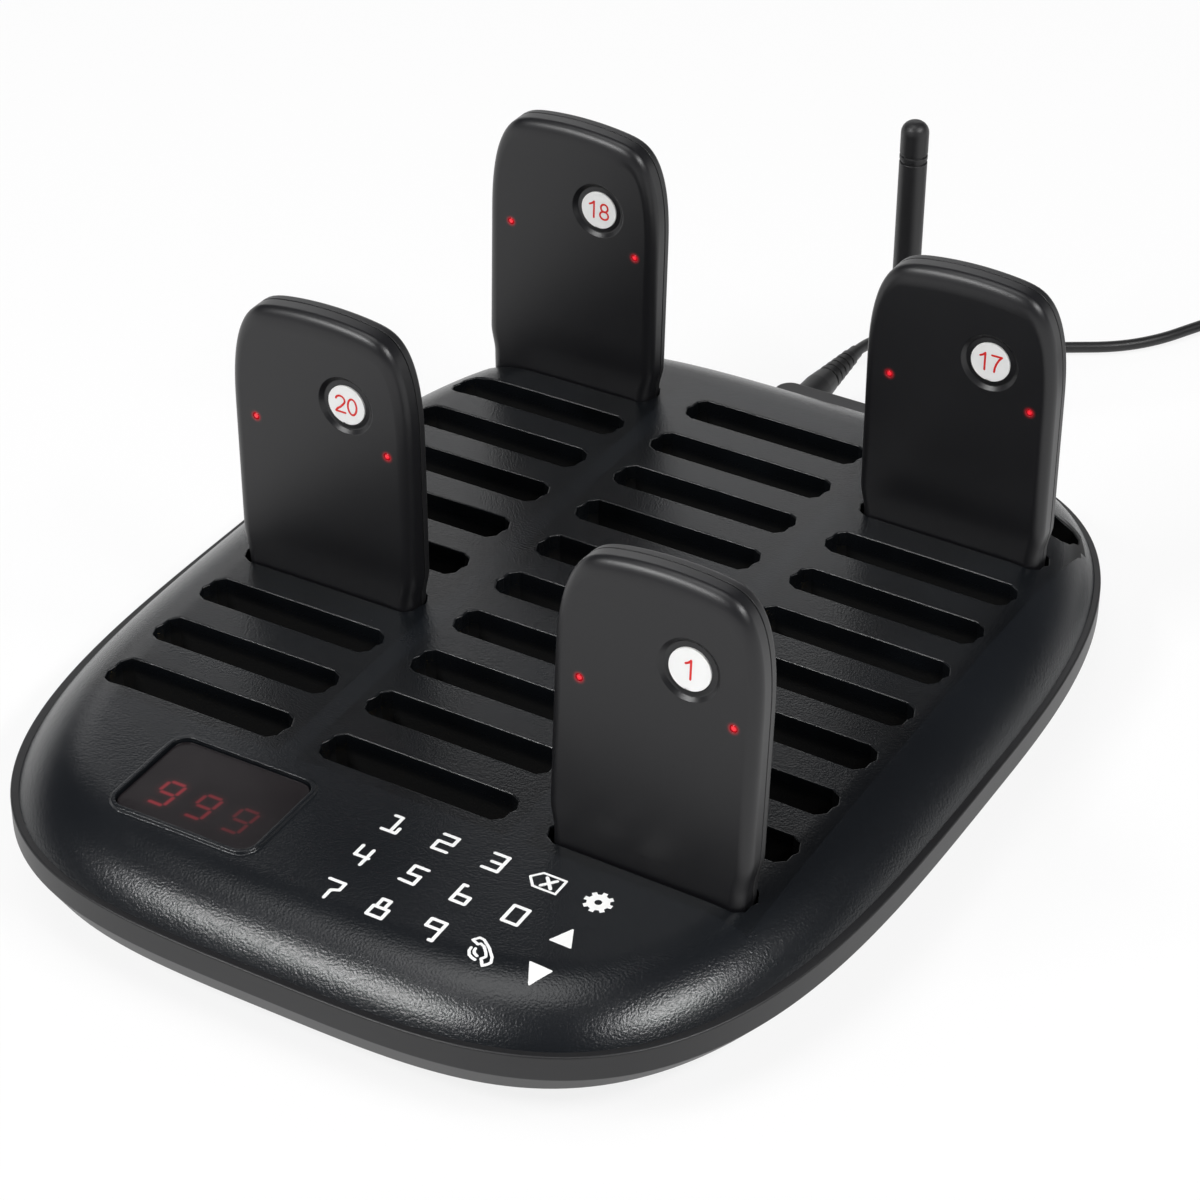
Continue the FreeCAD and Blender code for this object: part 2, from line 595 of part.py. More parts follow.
def pager_outline(inset):
    """Front view of a pager: straight sides, round top corners under a shallow crest."""
    half, foot = dim("pager_half") - inset, dim("pager_foot") + inset
    corner, crest = dim("corner_radius") - inset, dim("crest_radius") - inset
    top = dim("pager_top") - inset
    crest_centre = top - crest
    corner_x = half - corner
    corner_z = crest_centre + math.sqrt((crest - corner) ** 2 - corner_x ** 2)
    share = crest / (crest - corner)
    touch_x, touch_z = corner_x * share, crest_centre + (corner_z - crest_centre) * share
    slope = math.atan2(touch_z - corner_z, touch_x - corner_x) / 2
    mid = (corner_x + corner * math.cos(slope), corner_z + corner * math.sin(slope))
    foot_r = 3.0
    low = (half - foot_r * (1 - math.sqrt(0.5)), foot + foot_r * (1 - math.sqrt(0.5)))

    def at(x, z):
        return Vector(x, 0, z)

    pieces = [Part.LineSegment(at(-half + foot_r, foot), at(half - foot_r, foot)),
              Part.Arc(at(half - foot_r, foot), at(*low), at(half, foot + foot_r)),
              Part.LineSegment(at(half, foot + foot_r), at(half, corner_z)),
              Part.Arc(at(half, corner_z), at(*mid), at(touch_x, touch_z)),
              Part.Arc(at(touch_x, touch_z), at(0, top), at(-touch_x, touch_z)),
              Part.Arc(at(-touch_x, touch_z), at(-mid[0], mid[1]), at(-half, corner_z)),
              Part.LineSegment(at(-half, corner_z), at(-half, foot + foot_r)),
              Part.Arc(at(-half, foot + foot_r), at(-low[0], low[1]), at(-half + foot_r, foot))]
    return Part.Wire([piece.toShape() for piece in pieces])


def pager_slab(inset, front, back):
    """A slab of the pager's outline between two depths."""
    face = Part.Face(pager_outline(inset))
    face.translate(Vector(0, front, 0))
    return face.extrude(Vector(0, back - front, 0))


def slab_fillet(slab, radius, depth):
    """Round the slab's edges that lie at one depth."""
    edges = [e for e in slab.Edges if e.BoundBox.YLength < 0.01 and abs(e.BoundBox.YMin - depth) < 0.01]
    return slab.makeFillet(radius, edges)


def foot_wedge(side):
    """What the tapered foot leaves out, on the front (-1) or the back (1)."""
    face_y = dim("pager_front") if side < 0 else dim("pager_back")
    foot = dim("pager_foot") - 1
    points = [Vector(-40, face_y - side * 1.6, foot), Vector(-40, face_y + side * 3, foot),
              Vector(-40, face_y + side * 3, -1.0), Vector(-40, face_y + side * 0.01, -1.0)]
    return Part.Face(Part.makePolygon(points + points[:1])).extrude(Vector(80, 0, 0))


CORNER_NORMAL = Vector(0.724, -0.69, -0.062)
CORNER_REACH = 21.6


def foot_corner(side):
    """What the bevelled front corner of the foot leaves out, on the left (-1) or the right (1)."""
    outward = Vector(side * CORNER_NORMAL.x, CORNER_NORMAL.y, CORNER_NORMAL.z)
    block = Part.makeBox(6, 60, 60, Vector(0, -30, -30))
    block.Placement = Placement(outward * CORNER_REACH, Rotation(Vector(1, 0, 0), outward))
    return block


def y_cylinder(radius, x, z, front, back):
    return Part.makeCylinder(radius, back - front, Vector(x, front, z), Vector(0, 1, 0))


def front_shell_shape():
    wall, front, seam = dim("shell_wall"), dim("pager_front"), dim("seam_front")
    solid = slab_fillet(pager_slab(0.0, front, seam), 3.4, front)
    solid = solid.cut([foot_wedge(-1), foot_corner(-1), foot_corner(1)])
    hollow = pager_slab(wall, front + 2.2, seam + 1).cut(foot_wedge(-1).translated(Vector(0, 2.2, 0)))
    solid = solid.cut(hollow)
    dish = y_cylinder(dim("dish_radius"), dim("disc_x"), dim("disc_z"), front - 1, front + 0.5)
    solid = solid.cut(dish)
    solid = solid.cut(y_cylinder(dim("disc_radius") + 0.1, dim("disc_x"), dim("disc_z"), front, front + 1.1))
    for x in (dim("indicator_left"), dim("indicator_right")):
        solid = solid.cut(y_cylinder(LENS_RADIUS + 0.05, x, dim("indicator_z"), front - 1, seam))
    for x in CONTACT_X:
        solid = solid.cut(Part.makeBox(CONTACT_SIZE[0], CONTACT_SIZE[1], 4,
                                       Vector(x - CONTACT_SIZE[0] / 2, CONTACT_FRONT, dim("pager_foot") - 1)))
    return solid


LENS_RADIUS = 1.0
CONTACT_X = (-15.0, 15.0)
CONTACT_SIZE = (6.0, 2.4, 1.6)
CONTACT_FRONT = -1.6


def rear_shell_shape():
    wall, back = dim("shell_wall"), dim("pager_back")
    seam, lip_front = dim("seam_back"), dim("seam_front") - 1.2
    solid = slab_fillet(pager_slab(0.0, seam, back), 1.6, back)
    solid = solid.fuse(pager_slab(wall, lip_front, seam))
    solid = solid.cut(pager_slab(wall + 1.0, lip_front - 1, back - 1.5))
    return solid.cut(foot_wedge(1)).removeSplitter()


def board_shape():
    back = dim("seam_front") - 1.2
    board = pager_slab(dim("shell_wall") + 0.3, back - 1.0, back)
    motor = y_cylinder(5.0, -14.0, 5.0, back - 2.4, back - 1.0)
    chip = Part.makeBox(8, 1.1, 8, Vector(4, back - 2.1, 18))
    return board.fuse([motor, chip]).cut(foot_wedge(-1).translated(Vector(0, 2.2, 0)))


def pager_shapes():
    front, back = dim("pager_front"), dim("seam_front") - 1.2
    disc = y_cylinder(dim("disc_radius"), dim("disc_x"), dim("disc_z"), front + 0.45, front + 1.1)
    notch = y_cylinder(0.9, dim("disc_x") - 0.3, dim("disc_z") - dim("disc_radius"), front - 1, front + 2)
    lenses = [y_cylinder(LENS_RADIUS, x, dim("indicator_z"), front + 0.05, back - 1.0)
              for x in (dim("indicator_left"), dim("indicator_right"))]
    contacts = [Part.makeBox(*CONTACT_SIZE, Vector(x - CONTACT_SIZE[0] / 2, CONTACT_FRONT, dim("pager_foot")))
                for x in CONTACT_X]
    return dict(front_shell=front_shell_shape(), rear_shell=rear_shell_shape(), number_disc=disc.cut(notch),
                indicator_lenses=Part.makeCompound(lenses), circuit_board=board_shape(),
                battery=Part.makeBox(34, 2.9, 46, Vector(-17, back, -4)),
                charge_contacts=Part.makeCompound(contacts))


def pagers():
    shapes = pager_shapes()
    for name, seat in PAGERS.items():
        turn = Rotation(Vector(1, 0, 0), -seat["lean"]).multiply(Rotation(Vector(0, 1, 0), seat["roll"]))
        rise = 24.0 * math.sin(math.radians(abs(seat["roll"])))
        rise += 3.5 * math.sin(math.radians(abs(seat["lean"])))
        y = dim("first_row_y") + (seat["row"] - 1) * dim("row_pitch") + seat["shift_y"]
        spot = Vector(seat["column"] * dim("column_pitch") + seat["shift_x"], y, dim("deck_height") + rise)
        for piece, shape in shapes.items():
            feature = doc.addObject("Part::Feature", name + "_" + piece + "_solid")
            feature.Shape = shape
            feature.Placement = Placement(spot, turn)
            keep(feature, name + "_" + piece)


# ---------------------------------------------------------------- build, check and export

top_shell()
for rack_side, rack_x in column_centres():
    slot_rack(rack_side, rack_x)
charge_pins()
bottom_shell()
rubber_feet()
housing_screws()
display_parts()
boards()
dc_jack()
antenna()
dc_plug()
lead_tube("DcCable", "dc_cable", LEAD_ROUTE)
lead_tube("DcCableTail", "dc_cable_tail", TAIL_ROUTE)
cable_coil()
power_adapter()
pagers()

doc.recompute()
for obj in doc.Objects:
    if "Invalid" in obj.State or "Error" in obj.State:
        raise RuntimeError("object %s failed: %s" % (obj.Name, obj.State))
os.makedirs("parts", exist_ok=True)
for obj in NODES:
    if obj.Shape.isNull() or not obj.Shape.isValid():
        raise RuntimeError("bad shape in " + obj.Label)
for obj in NODES:
    obj.Shape.exportStep("parts/%s.step" % obj.Label)
    span = obj.Shape.BoundBox
    print("%-32s solids %d volume %.0f x %.1f %.1f y %.1f %.1f z %.1f %.1f" % (
        obj.Label, len(obj.Shape.Solids), obj.Shape.Volume, span.XMin, span.XMax, span.YMin, span.YMax,
        span.ZMin, span.ZMax))
print("sub-parts:", len(NODES))
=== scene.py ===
"""Looks of the guest pager system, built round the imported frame.

Helpers take millimetres in the frame of the CAD part; pieces are written in metres.
"""

import math

import bpy
import numpy as np
from mathutils import Matrix, Vector
from mathutils.geometry import delaunay_2d_cdt
from mathutils.kdtree import KDTree

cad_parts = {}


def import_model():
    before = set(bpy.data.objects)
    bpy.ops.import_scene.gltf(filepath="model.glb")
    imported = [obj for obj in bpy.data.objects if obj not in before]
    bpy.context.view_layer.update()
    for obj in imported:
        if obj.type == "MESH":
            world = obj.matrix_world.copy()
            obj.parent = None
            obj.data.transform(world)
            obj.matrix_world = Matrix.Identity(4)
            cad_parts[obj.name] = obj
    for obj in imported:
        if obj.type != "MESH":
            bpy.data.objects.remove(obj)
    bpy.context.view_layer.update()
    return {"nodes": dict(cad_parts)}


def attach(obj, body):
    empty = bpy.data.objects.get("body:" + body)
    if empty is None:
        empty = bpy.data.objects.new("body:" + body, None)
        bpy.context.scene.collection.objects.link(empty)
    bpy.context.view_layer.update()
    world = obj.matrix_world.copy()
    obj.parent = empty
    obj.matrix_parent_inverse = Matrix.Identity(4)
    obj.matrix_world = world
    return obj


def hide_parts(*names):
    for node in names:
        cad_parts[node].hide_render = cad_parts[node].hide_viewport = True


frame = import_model()

METRE = 0.001
UP = np.array((0.0, 0.0, 1.0))
DOWN = -UP
RIGHT = np.array((1.0, 0.0, 0.0))
BACK = np.array((0.0, 1.0, 0.0))
FRONT = -BACK

# ------------------------------------------------------------ sizes

# Plan of the housing: a rounded-square curve, with its own reach and powers in front and behind.
HALF_WIDTH, WIDEST_Y = 119.5, 0.8
FRONT_REACH, REAR_REACH = 168.7, 137.85
FRONT_POWERS, REAR_POWERS = (3.49, 3.61), (3.88, 2.7)
# Heights over the table, from the top of the deck down, and how far the lower edges stand back.
DECK, LEDGE, WALL_FOOT, BEVEL_FOOT, PAN = 35.5, 21.9, 14.9, 10.5, 2.5
BEVEL_INSET, PAN_INSET, FRONT_SINK = 3.5, 16.0, 2.3
# The deck is a wide, shallow crown whose edge rolls down in one radius to a wall.
CROWN, CROWN_Y, ROLL = 6800.0, 31.2, 27.0
WALL_OUT, WALL_OUT_FRONT = 2.0, 3.0

# Three columns of ten slots, one rack under each column, and half of a slot's notched outline.
COLUMNS = {"left": -68.59, "middle": 0.0, "right": 68.59}
ROW_PITCH, FIRST_ROW, ROWS = 21.49, -95.3, 10
RACK_HALF, RACK_MARGIN, RACK_INSET, WELL_FLOOR = 31.5, 8.9, 4.2, 13.4
SLOT_SHIFT = (-0.3, 0.5)
SLOT_HALF = [(24.9, 5.6), (27.4, 4.2), (28.7, 1.0), (27.8, -1.0), (27.7, -3.5), (25.5, -5.6)]
SLOT_EDGE, WELL_EDGE = 0.45, 0.6
SLOTS = [(side, x, FIRST_ROW + row * ROW_PITCH) for side, x in COLUMNS.items() for row in range(ROWS)]

WINDOW = (-41.0, -126.8)
WINDOW_SIZE = (42.0, 31.0)
WINDOW_CORNER, LIP_REACH = 4.0, 2.4
# Points that carry the deck's curve between the slots, and the room that slots and window need.
GRID_STEP, GRID_REACH = 7.0, 161
WINDOW_CLEAR, SLOT_CLEAR = (26, 21), (31, 8)

# The wall that the plug and the antenna stand on, with their places.
PORT_Z, PORT_WALL_Y = 16.5, 146.7
JACK_X, ANTENNA_X, ANTENNA_Y = -14.6, 9.4, 163.7
BUMP_LOW, BUMP_HIGH = (-22.0, 122.0), (35.0, PORT_WALL_Y)
ROD_RADIUS, ROD_FOOT, ROD_TOP, CAP_TOP = 4.2, PORT_Z + 4.7, 98.0, 111.0
SCREW_HOLE, SCREW_RIM, SCREW_TOP = 3.2, 3.5, 4.65
SCREWS = [(-80, -118), (80, -118), (-6, -109), (-55, 113), (55, 113), (-6, 113)]
FOOT_RADIUS = 8.0
FEET = [(-82, -100), (82, -100), (-78, 96), (78, 96)]

# The lead: its route to the coil, its turns, and its way from the coil to the adapter.
LEAD_DIAMETER = 3.6
LEAD_ROUTE = [
    (-14.6, 182.2, 16.5), (-14.2, 192.6, 15.9), (-10.8, 202.8, 11.2), (-4.0, 212.4, 4.8),
    (5.0, 222.2, 2.1), (17.0, 232.6, 2.1), (31.8, 242.0, 2.1), (46.8, 251.2, 2.1),
    (56.6, 262.6, 2.1), (63.0, 275.2, 2.1), (68.6, 285.6, 2.1),
]
TAIL_ROUTE = [(119.2, 273.6, 3.2), (126.0, 267.2, 4.9), (134.5, 266.06, 6.88)]
COIL_CENTRE, COIL_EXIT = (95.8, 294.6), (117.6, 281.2, 5.2)
COIL_OUTSIDE, COIL_PITCH, COIL_SPREAD = 25.4, 3.6, 1.02
COIL_TURNS, LOW_TURNS, COIL_LOW, COIL_RISE = 6.5, 3.0, 2.0, 3.65

ADAPTER_LOW, ADAPTER_HIGH, ADAPTER_HEIGHT = (142, 235), (186, 297), 30.0
ADAPTER_EXIT = (143.0, 266, 7.0)

# ------------------------------------------------------------ camera

AZIMUTH, ELEVATION, TILT = 0.52586, 0.59757, 0.00611
CAMERA_AT = (0.387224, -0.670822, 0.560079)
LENS_LENGTH, SENSOR = 102.53, 36.0
NEAREST, FARTHEST = 0.05, 50.0


def add(name, data):
    """A new object in the scene."""
    made = bpy.data.objects.new(name, data)
    bpy.context.scene.collection.objects.link(made)
    return made


def way_to(azimuth, elevation):
    """The way from the object to a camera or lamp; azimuth 0 is in front, a quarter turn on the right."""
    level = math.cos(elevation)
    return Vector((math.sin(azimuth) * level, -math.cos(azimuth) * level, math.sin(elevation)))


def look():
    """The camera: 30 degrees to the right of the front, 34 degrees above the table."""
    back = way_to(AZIMUTH, ELEVATION)
    right = Vector((0, 0, 1)).cross(back).normalized()
    up = back.cross(right)
    tilted_right = math.cos(TILT) * right + math.sin(TILT) * up
    tilted_up = math.cos(TILT) * up - math.sin(TILT) * right
    data = bpy.data.cameras.new("camera")
    data.lens, data.sensor_width = LENS_LENGTH, SENSOR
    data.clip_start, data.clip_end = NEAREST, FARTHEST
    camera = add("camera", data)
    turn = Matrix((tilted_right, tilted_up, back)).transposed().to_4x4()
    camera.matrix_world = Matrix.Translation(CAMERA_AT) @ turn
    bpy.context.scene.camera = camera


look()

# ------------------------------------------------------------ finishes


class Level:
    """A number that changes over a surface; arithmetic on it adds the Math nodes."""

    def __init__(self, finish, socket):
        self.finish, self.socket = finish, socket

    def math(self, operation, *terms):
        return self.finish.node("ShaderNodeMath", {"operation": operation}, dict(enumerate(terms)))

    def __add__(self, other):
        return self.math("ADD", self, other)

    def __sub__(self, other):
        return self.math("SUBTRACT", self, other)

    def __rsub__(self, other):
        return self.math("SUBTRACT", other, self)

    def __mul__(self, other):
        return self.math("MULTIPLY", self, other)

    def __truediv__(self, other):
        return self.math("DIVIDE", self, other)

    __radd__, __rmul__ = __add__, __mul__

    def __abs__(self):
        return self.math("ABSOLUTE", self)

    def __pow__(self, power):
        return self.math("POWER", self, power)

    def at_least(self, low):
        return self.math("MAXIMUM", self, low)

    def at_most(self, high):
        return self.math("MINIMUM", self, high)

    def nearest_whole(self):
        return self.math("ROUND", self)

    def fade(self, near, far):
        """1 where the level is under near, 0 where it is over far, smooth between."""
        share = ((far - self) / (far - near)).at_least(0.0).at_most(1.0)
        return share * share * (3.0 - 2.0 * share)


class Finish:
    """One material, or the world, and its nodes."""

    def __init__(self, name, kind="materials"):
        self.owner = getattr(bpy.data, kind).new(name)
        self.owner.use_nodes = True
        self.tree = self.owner.node_tree
        self.tree.nodes.clear()

    def node(self, kind, settings=None, inputs=None, output=0):
        made = self.tree.nodes.new(kind)
        for key, value in (settings or {}).items():
            setattr(made, key, value)
        for key, value in (inputs or {}).items():
            if isinstance(value, Level):
                self.tree.links.new(value.socket, made.inputs[key])
            else:
                made.inputs[key].default_value = value
        return Level(self, made.outputs[output]) if made.outputs else None

    def place(self):
        """Where on the object a spot lies, in metres."""
        return self.node("ShaderNodeTexCoord", output="Object")

    def part(self, vector, axis):
        """One of the three coordinates of a vector."""
        return self.node("ShaderNodeSeparateXYZ", None, {"Vector": vector}, axis)

    def noise(self, place, size, detail=2.0):
        """Noise with lumps of about this size in millimetres."""
        inputs = {"Vector": place, "Scale": 1 / (size * METRE), "Detail": detail}
        return self.node("ShaderNodeTexNoise", None, inputs)

    def blend(self, share, first, second):
        """A colour between two."""
        inputs = {0: share, 6: (*first, 1.0), 7: (*second, 1.0)}
        return self.node("ShaderNodeMix", {"data_type": "RGBA"}, inputs, 2)

    def relief(self, height, depth, normal=None):
        """A normal bent by a height in millimetres."""
        inputs = {"Height": height, "Distance": depth * METRE}
        if normal is not None:
            inputs["Normal"] = normal
        return self.node("ShaderNodeBump", None, inputs)

    def soft_edges(self, radius):
        """A normal that rounds the edges of a carried-over CAD piece."""
        return self.node("ShaderNodeBevel", {"samples": 4}, {"Radius": radius * METRE})

    def surface(self, inputs):
        """The finished material, with these inputs of its shader."""
        shader = self.node("ShaderNodeBsdfPrincipled", None, inputs)
        self.node("ShaderNodeOutputMaterial", None, {"Surface": shader})
        return self.owner


def shade(colour, share):
    """A colour made darker or lighter."""
    return tuple(min(1.0, c * share) for c in colour)


DARK_SWING, PALE_SWING, GLOSS_SWING = 0.14, 0.03, 0.05
# Painted shade deep in the wells: the height over which it fades in, how dark it paints the colour, and how
# much duller the gloss gets.
PAINTED_SHADE_FADE, PAINTED_SHADE_TONE, DEEP_DULL = 4.0, 0.06, 0.4


def moulded(name, colour, roughness, grain=0.35, grain_depth=0.01, edges=0.0, shade_painted_under=None):
    """Moulded plastic: fine grain, and a slightly uneven gloss. Under a given height it is duller and has
    painted shade that darkens its colour.
    """
    swing = DARK_SWING if max(colour) < 0.5 else PALE_SWING
    finish = Finish(name)
    place = finish.place()
    cloud = finish.noise(place, 24.0, 3.0)
    speck = finish.noise(place, grain)
    normal = finish.soft_edges(edges) if edges else None
    tone, low = cloud, shade(colour, 1 - swing)
    gloss = roughness + GLOSS_SWING * (cloud - 0.5) + 0.5 * GLOSS_SWING * (speck - 0.5)
    # Painted shade: below the height the colour is darkened, where shade falls in the wells.
    if shade_painted_under:
        height = finish.part(place, 2) / METRE
        painted_shade = height.fade(shade_painted_under - PAINTED_SHADE_FADE, shade_painted_under)
        tone, gloss, low = cloud * (1 - painted_shade), gloss + DEEP_DULL * painted_shade, shade(colour, PAINTED_SHADE_TONE)
    return finish.surface({
        "Base Color": finish.blend(tone, low, shade(colour, 1 + swing)),
        "Roughness": gloss,
        "Normal": finish.relief(speck, grain_depth, normal),
    })


def metal(name, colour, roughness):
    """Plated sheet or turned metal with fine scratches."""
    finish = Finish(name)
    place = finish.place()
    stretched = finish.node("ShaderNodeMapping", None, {"Vector": place, "Scale": (1.0, 12.0, 12.0)})
    scratch = finish.noise(stretched, 1.2, 3.0)
    return finish.surface({
        "Base Color": finish.blend(scratch, shade(colour, 0.8), colour),
        "Metallic": 1.0,
        "Roughness": roughness + 0.16 * (scratch - 0.5),
        "Normal": finish.soft_edges(0.12),
    })


def circuit(name):
    """Solder mask with faint copper tracks under it."""
    finish = Finish(name)
    place = finish.place()
    weave = finish.noise(place, 0.8, 1.0)
    lines = finish.node("ShaderNodeTexWave", {"wave_type": "BANDS"},
                        {"Vector": place, "Scale": 220.0, "Distortion": 6.0, "Detail": 1.0})
    return finish.surface({
        "Base Color": finish.blend(lines.fade(0.35, 0.5), (0.012, 0.11, 0.04), (0.006, 0.055, 0.022)),
        "Roughness": 0.32 + 0.1 * weave,
        "Normal": finish.soft_edges(0.1),
    })


def near_lamps(finish, place, lamps, near, far):
    """1 at a pager's lamps, fading to 0 between two distances from them in millimetres."""
    shares = []
    for spot in lamps:
        centre = tuple(c * METRE for c in spot)
        reach = finish.node("ShaderNodeVectorMath", {"operation": "DISTANCE"}, {0: place, 1: centre}, 1)
        shares.append(reach.fade(near * METRE, far * METRE))
    return shares[0] + shares[1]


def pager_face(name, lamps):
    """The pager's satin face, with a painted red glow round its two lamps."""
    colour, roughness = (0.0075, 0.0075, 0.0088), 0.36
    finish = Finish(name)
    place = finish.place()
    cloud = finish.noise(place, 26.0, 3.0)
    speck = finish.noise(place, 0.28)
    # Painted glow: the face emits red light round the lamps, standing in for the lamps' light falling on it.
    painted_glow = near_lamps(finish, place, lamps, 0.5, 2.4) ** 2.0
    return finish.surface({
        "Base Color": finish.blend(cloud, shade(colour, 0.88), shade(colour, 1.12)),
        "Roughness": roughness + 0.05 * (cloud - 0.5),
        "Emission Color": finish.blend(painted_glow, (0.0, 0.0, 0.0), (0.42, 0.004, 0.012)),
        "Emission Strength": 1.0,
        "Normal": finish.relief(speck, 0.004),
    })


def lit_lens(name, lamps):
    """A pager's two small red lamps, brightest in their middles."""
    finish = Finish(name)
    core = near_lamps(finish, finish.place(), lamps, 0.1, 0.9)
    return finish.surface({
        "Base Color": (0.25, 0.004, 0.006, 1.0),
        "Roughness": 0.25,
        "Emission Color": finish.blend(core, (0.22, 0.0, 0.004), (0.95, 0.02, 0.04)),
        "Emission Strength": 1.2,
    })


DIGIT_CENTRE = (-40.4, -132.0)
DIGIT_PITCH, DIGIT_HALF, DIGIT_REACH = 11.3, 4.6, 2.5
DIGIT_SLANT, SEGMENT_TRIM = 0.08, 0.9


def smoked_window(name):
    """Smoked glass with three dim red nines glowing behind it, and a faint painted glow round them."""
    finish = Finish(name)
    place = finish.place()
    along, v = [finish.part(place, axis) / METRE - DIGIT_CENTRE[axis] for axis in (0, 1)]
    slot = (along / DIGIT_PITCH).nearest_whole().at_least(-1.0).at_most(1.0)
    u = along - slot * DIGIT_PITCH - v * DIGIT_SLANT
    half, reach = DIGIT_HALF, DIGIT_REACH
    from_middle = abs(v)
    level_away = from_middle.at_most(abs(from_middle - half))

    def apart(across, past_middle, length):
        """How far a spot is from a segment of this half length."""
        past = (past_middle - (length - SEGMENT_TRIM)).at_least(0.0)
        return (across * across + past * past) ** 0.5

    level = apart(level_away, abs(u), reach)
    right = apart(u - reach, abs(from_middle - half / 2), half / 2)
    left = apart(u + reach, abs(v - half / 2), half / 2)
    nearest = level.at_most(right).at_most(left)
    fading = 0.4 - 0.2 * slot
    # The digits themselves, plus a faint painted glow spreading up to 3 mm round them.
    lit = nearest.fade(0.1, 0.85) * fading + 0.1 * (nearest.fade(0.3, 3.0) ** 2.0) * fading
    haze = finish.noise(place, 9.0)
    return finish.surface({
        "Base Color": finish.blend(haze, (0.010, 0.008, 0.009), (0.015, 0.012, 0.013)),
        "Roughness": 0.2 + 0.06 * haze,
        "Emission Color": finish.blend(lit.at_most(1.0), (0.0, 0.0, 0.0), (0.32, 0.02, 0.03)),
        "Emission Strength": 1.0,
    })


BLACK = (0.0066, 0.0080, 0.0100)
HOUSING = moulded("housing_plastic", BLACK, 0.26, grain=0.6, grain_depth=0.09)
# The racks' plastic has painted shade below 31.5 mm, deep in the wells.
RACKS = moulded("rack_plastic_painted_shade", BLACK, 0.26, grain=0.6, grain_depth=0.09, shade_painted_under=31.5)
HOUSING_CAD = moulded("housing_plastic_edges", BLACK, 0.34, grain=0.42, grain_depth=0.012, edges=0.3)
TRAY = moulded("tray_plastic", (0.012, 0.012, 0.013), 0.42, grain=0.4, grain_depth=0.02)
PAGER_BACK = moulded("pager_back", (0.0125, 0.0125, 0.0135), 0.4, grain=0.3, grain_depth=0.006)
RUBBER = moulded("rubber", (0.014, 0.014, 0.0145), 0.62, grain=0.3, grain_depth=0.012)
LEAD = moulded("lead_skin", (0.011, 0.011, 0.0115), 0.45, grain=0.5, grain_depth=0.006)
ANTENNA = moulded("antenna_sleeve", (0.0125, 0.0125, 0.0135), 0.44, grain=0.3, grain_depth=0.006)
WHITE_PRINT = moulded("white_print", (0.92, 0.92, 0.91), 0.5, grain=0.2, grain_depth=0.002)
RED_PRINT = moulded("red_print", (0.72, 0.012, 0.008), 0.5, grain=0.2, grain_depth=0.002)
DISC_WHITE = moulded("disc_card", (0.93, 0.93, 0.92), 0.45, grain=0.5, grain_depth=0.003)
WINDOW_GLASS = smoked_window("smoked_window")
GREEN_BOARD = circuit("green_board")
BATTERY = moulded("battery_wrap", (0.22, 0.23, 0.25), 0.42, grain=0.6, grain_depth=0.004, edges=0.5)
STEEL = metal("steel", (0.62, 0.62, 0.63), 0.3)
GOLD = metal("gold_plate", (0.83, 0.6, 0.24), 0.28)
DARK_PARTS = moulded("dark_parts", (0.015, 0.015, 0.016), 0.4, grain=0.4, grain_depth=0.006, edges=0.25)

# ------------------------------------------------------------ lines and paths


def unit(vectors):
    """Vectors made one long."""
    vectors = np.asarray(vectors, float)
    return vectors / np.maximum(np.linalg.norm(vectors, axis=-1, keepdims=True), 1e-12)


def turned(vector, angle):
    """A flat vector turned to the left."""
    c, s = math.cos(angle), math.sin(angle)
    return np.array((vector[0] * c - vector[1] * s, vector[0] * s + vector[1] * c))


def corner_arc(before, here, after, radius, steps):
    """Points and left-hand normals of one corner (x, y) turned into an arc."""
    ahead_in, ahead_out = unit(here - before), unit(after - here)
    turn = math.atan2(ahead_in[0] * ahead_out[1] - ahead_in[1] * ahead_out[0], float(ahead_in @ ahead_out))
    left_in = np.array((-ahead_in[1], ahead_in[0]))
    if radius <= 0:
        return [here, here], [left_in, turned(left_in, turn)]
    trim = radius * math.tan(abs(turn) / 2)
    side = math.copysign(1.0, turn)
    centre = here - ahead_in * trim + left_in * radius * side
    normals = [turned(left_in, turn * step / steps) for step in range(steps + 1)]
    return [centre - n * radius * side for n in normals], normals


def rounded_line(corners, steps=4):
    """An open line through corners (u, v) or (u, v, radius), with its left-hand normals."""
    spots = [np.array(c[:2], float) for c in corners]
    radii = [c[2] if len(c) > 2 else 0.0 for c in corners]
    ends = []
    for a, b in ((spots[0], spots[1]), (spots[-2], spots[-1])):
        ahead = unit(b - a)
        ends.append(np.array((-ahead[1], ahead[0])))
    points, normals = [spots[0]], [ends[0]]
    for before, here, after, radius in zip(spots, spots[1:], spots[2:], radii[1:]):
        arc, bent = corner_arc(before, here, after, radius, steps)
        points += arc
        normals += bent
    return points + [spots[-1]], normals + [ends[1]]


def rounded_loop(corners, radius, steps=4, spacing=None):
    """A closed loop through corners, counter-clockwise, with its outward normals."""
    spots = [np.array(c, float) for c in corners]
    points, normals = [], []
    for i, here in enumerate(spots):
        arc, bent = corner_arc(spots[i - 1], here, spots[(i + 1) % len(spots)], radius, steps)
        points += arc
        normals += [-n for n in bent]
    if spacing:
        points, normals = filled(points, normals, spacing)
    return np.array(points), np.array(normals)


def oblong(low, high):
    """The corners of an upright rectangle, counter-clockwise."""
    (x0, y0), (x1, y1) = low, high
    return [(x0, y0), (x1, y0), (x1, y1), (x0, y1)]


def filled(points, normals, spacing):
    """Extra points on the long straight stretches of a loop."""
    more_points, more_normals = [], []
    for i, (here, normal) in enumerate(zip(points, normals)):
        ahead = points[(i + 1) % len(points)]
        count = max(1, int(np.linalg.norm(ahead - here) // spacing))
        for step in range(count):
            share = step / count
            more_points.append(here + (ahead - here) * share)
            more_normals.append(normal + (normals[(i + 1) % len(points)] - normal) * share)
    return more_points, list(unit(more_normals))


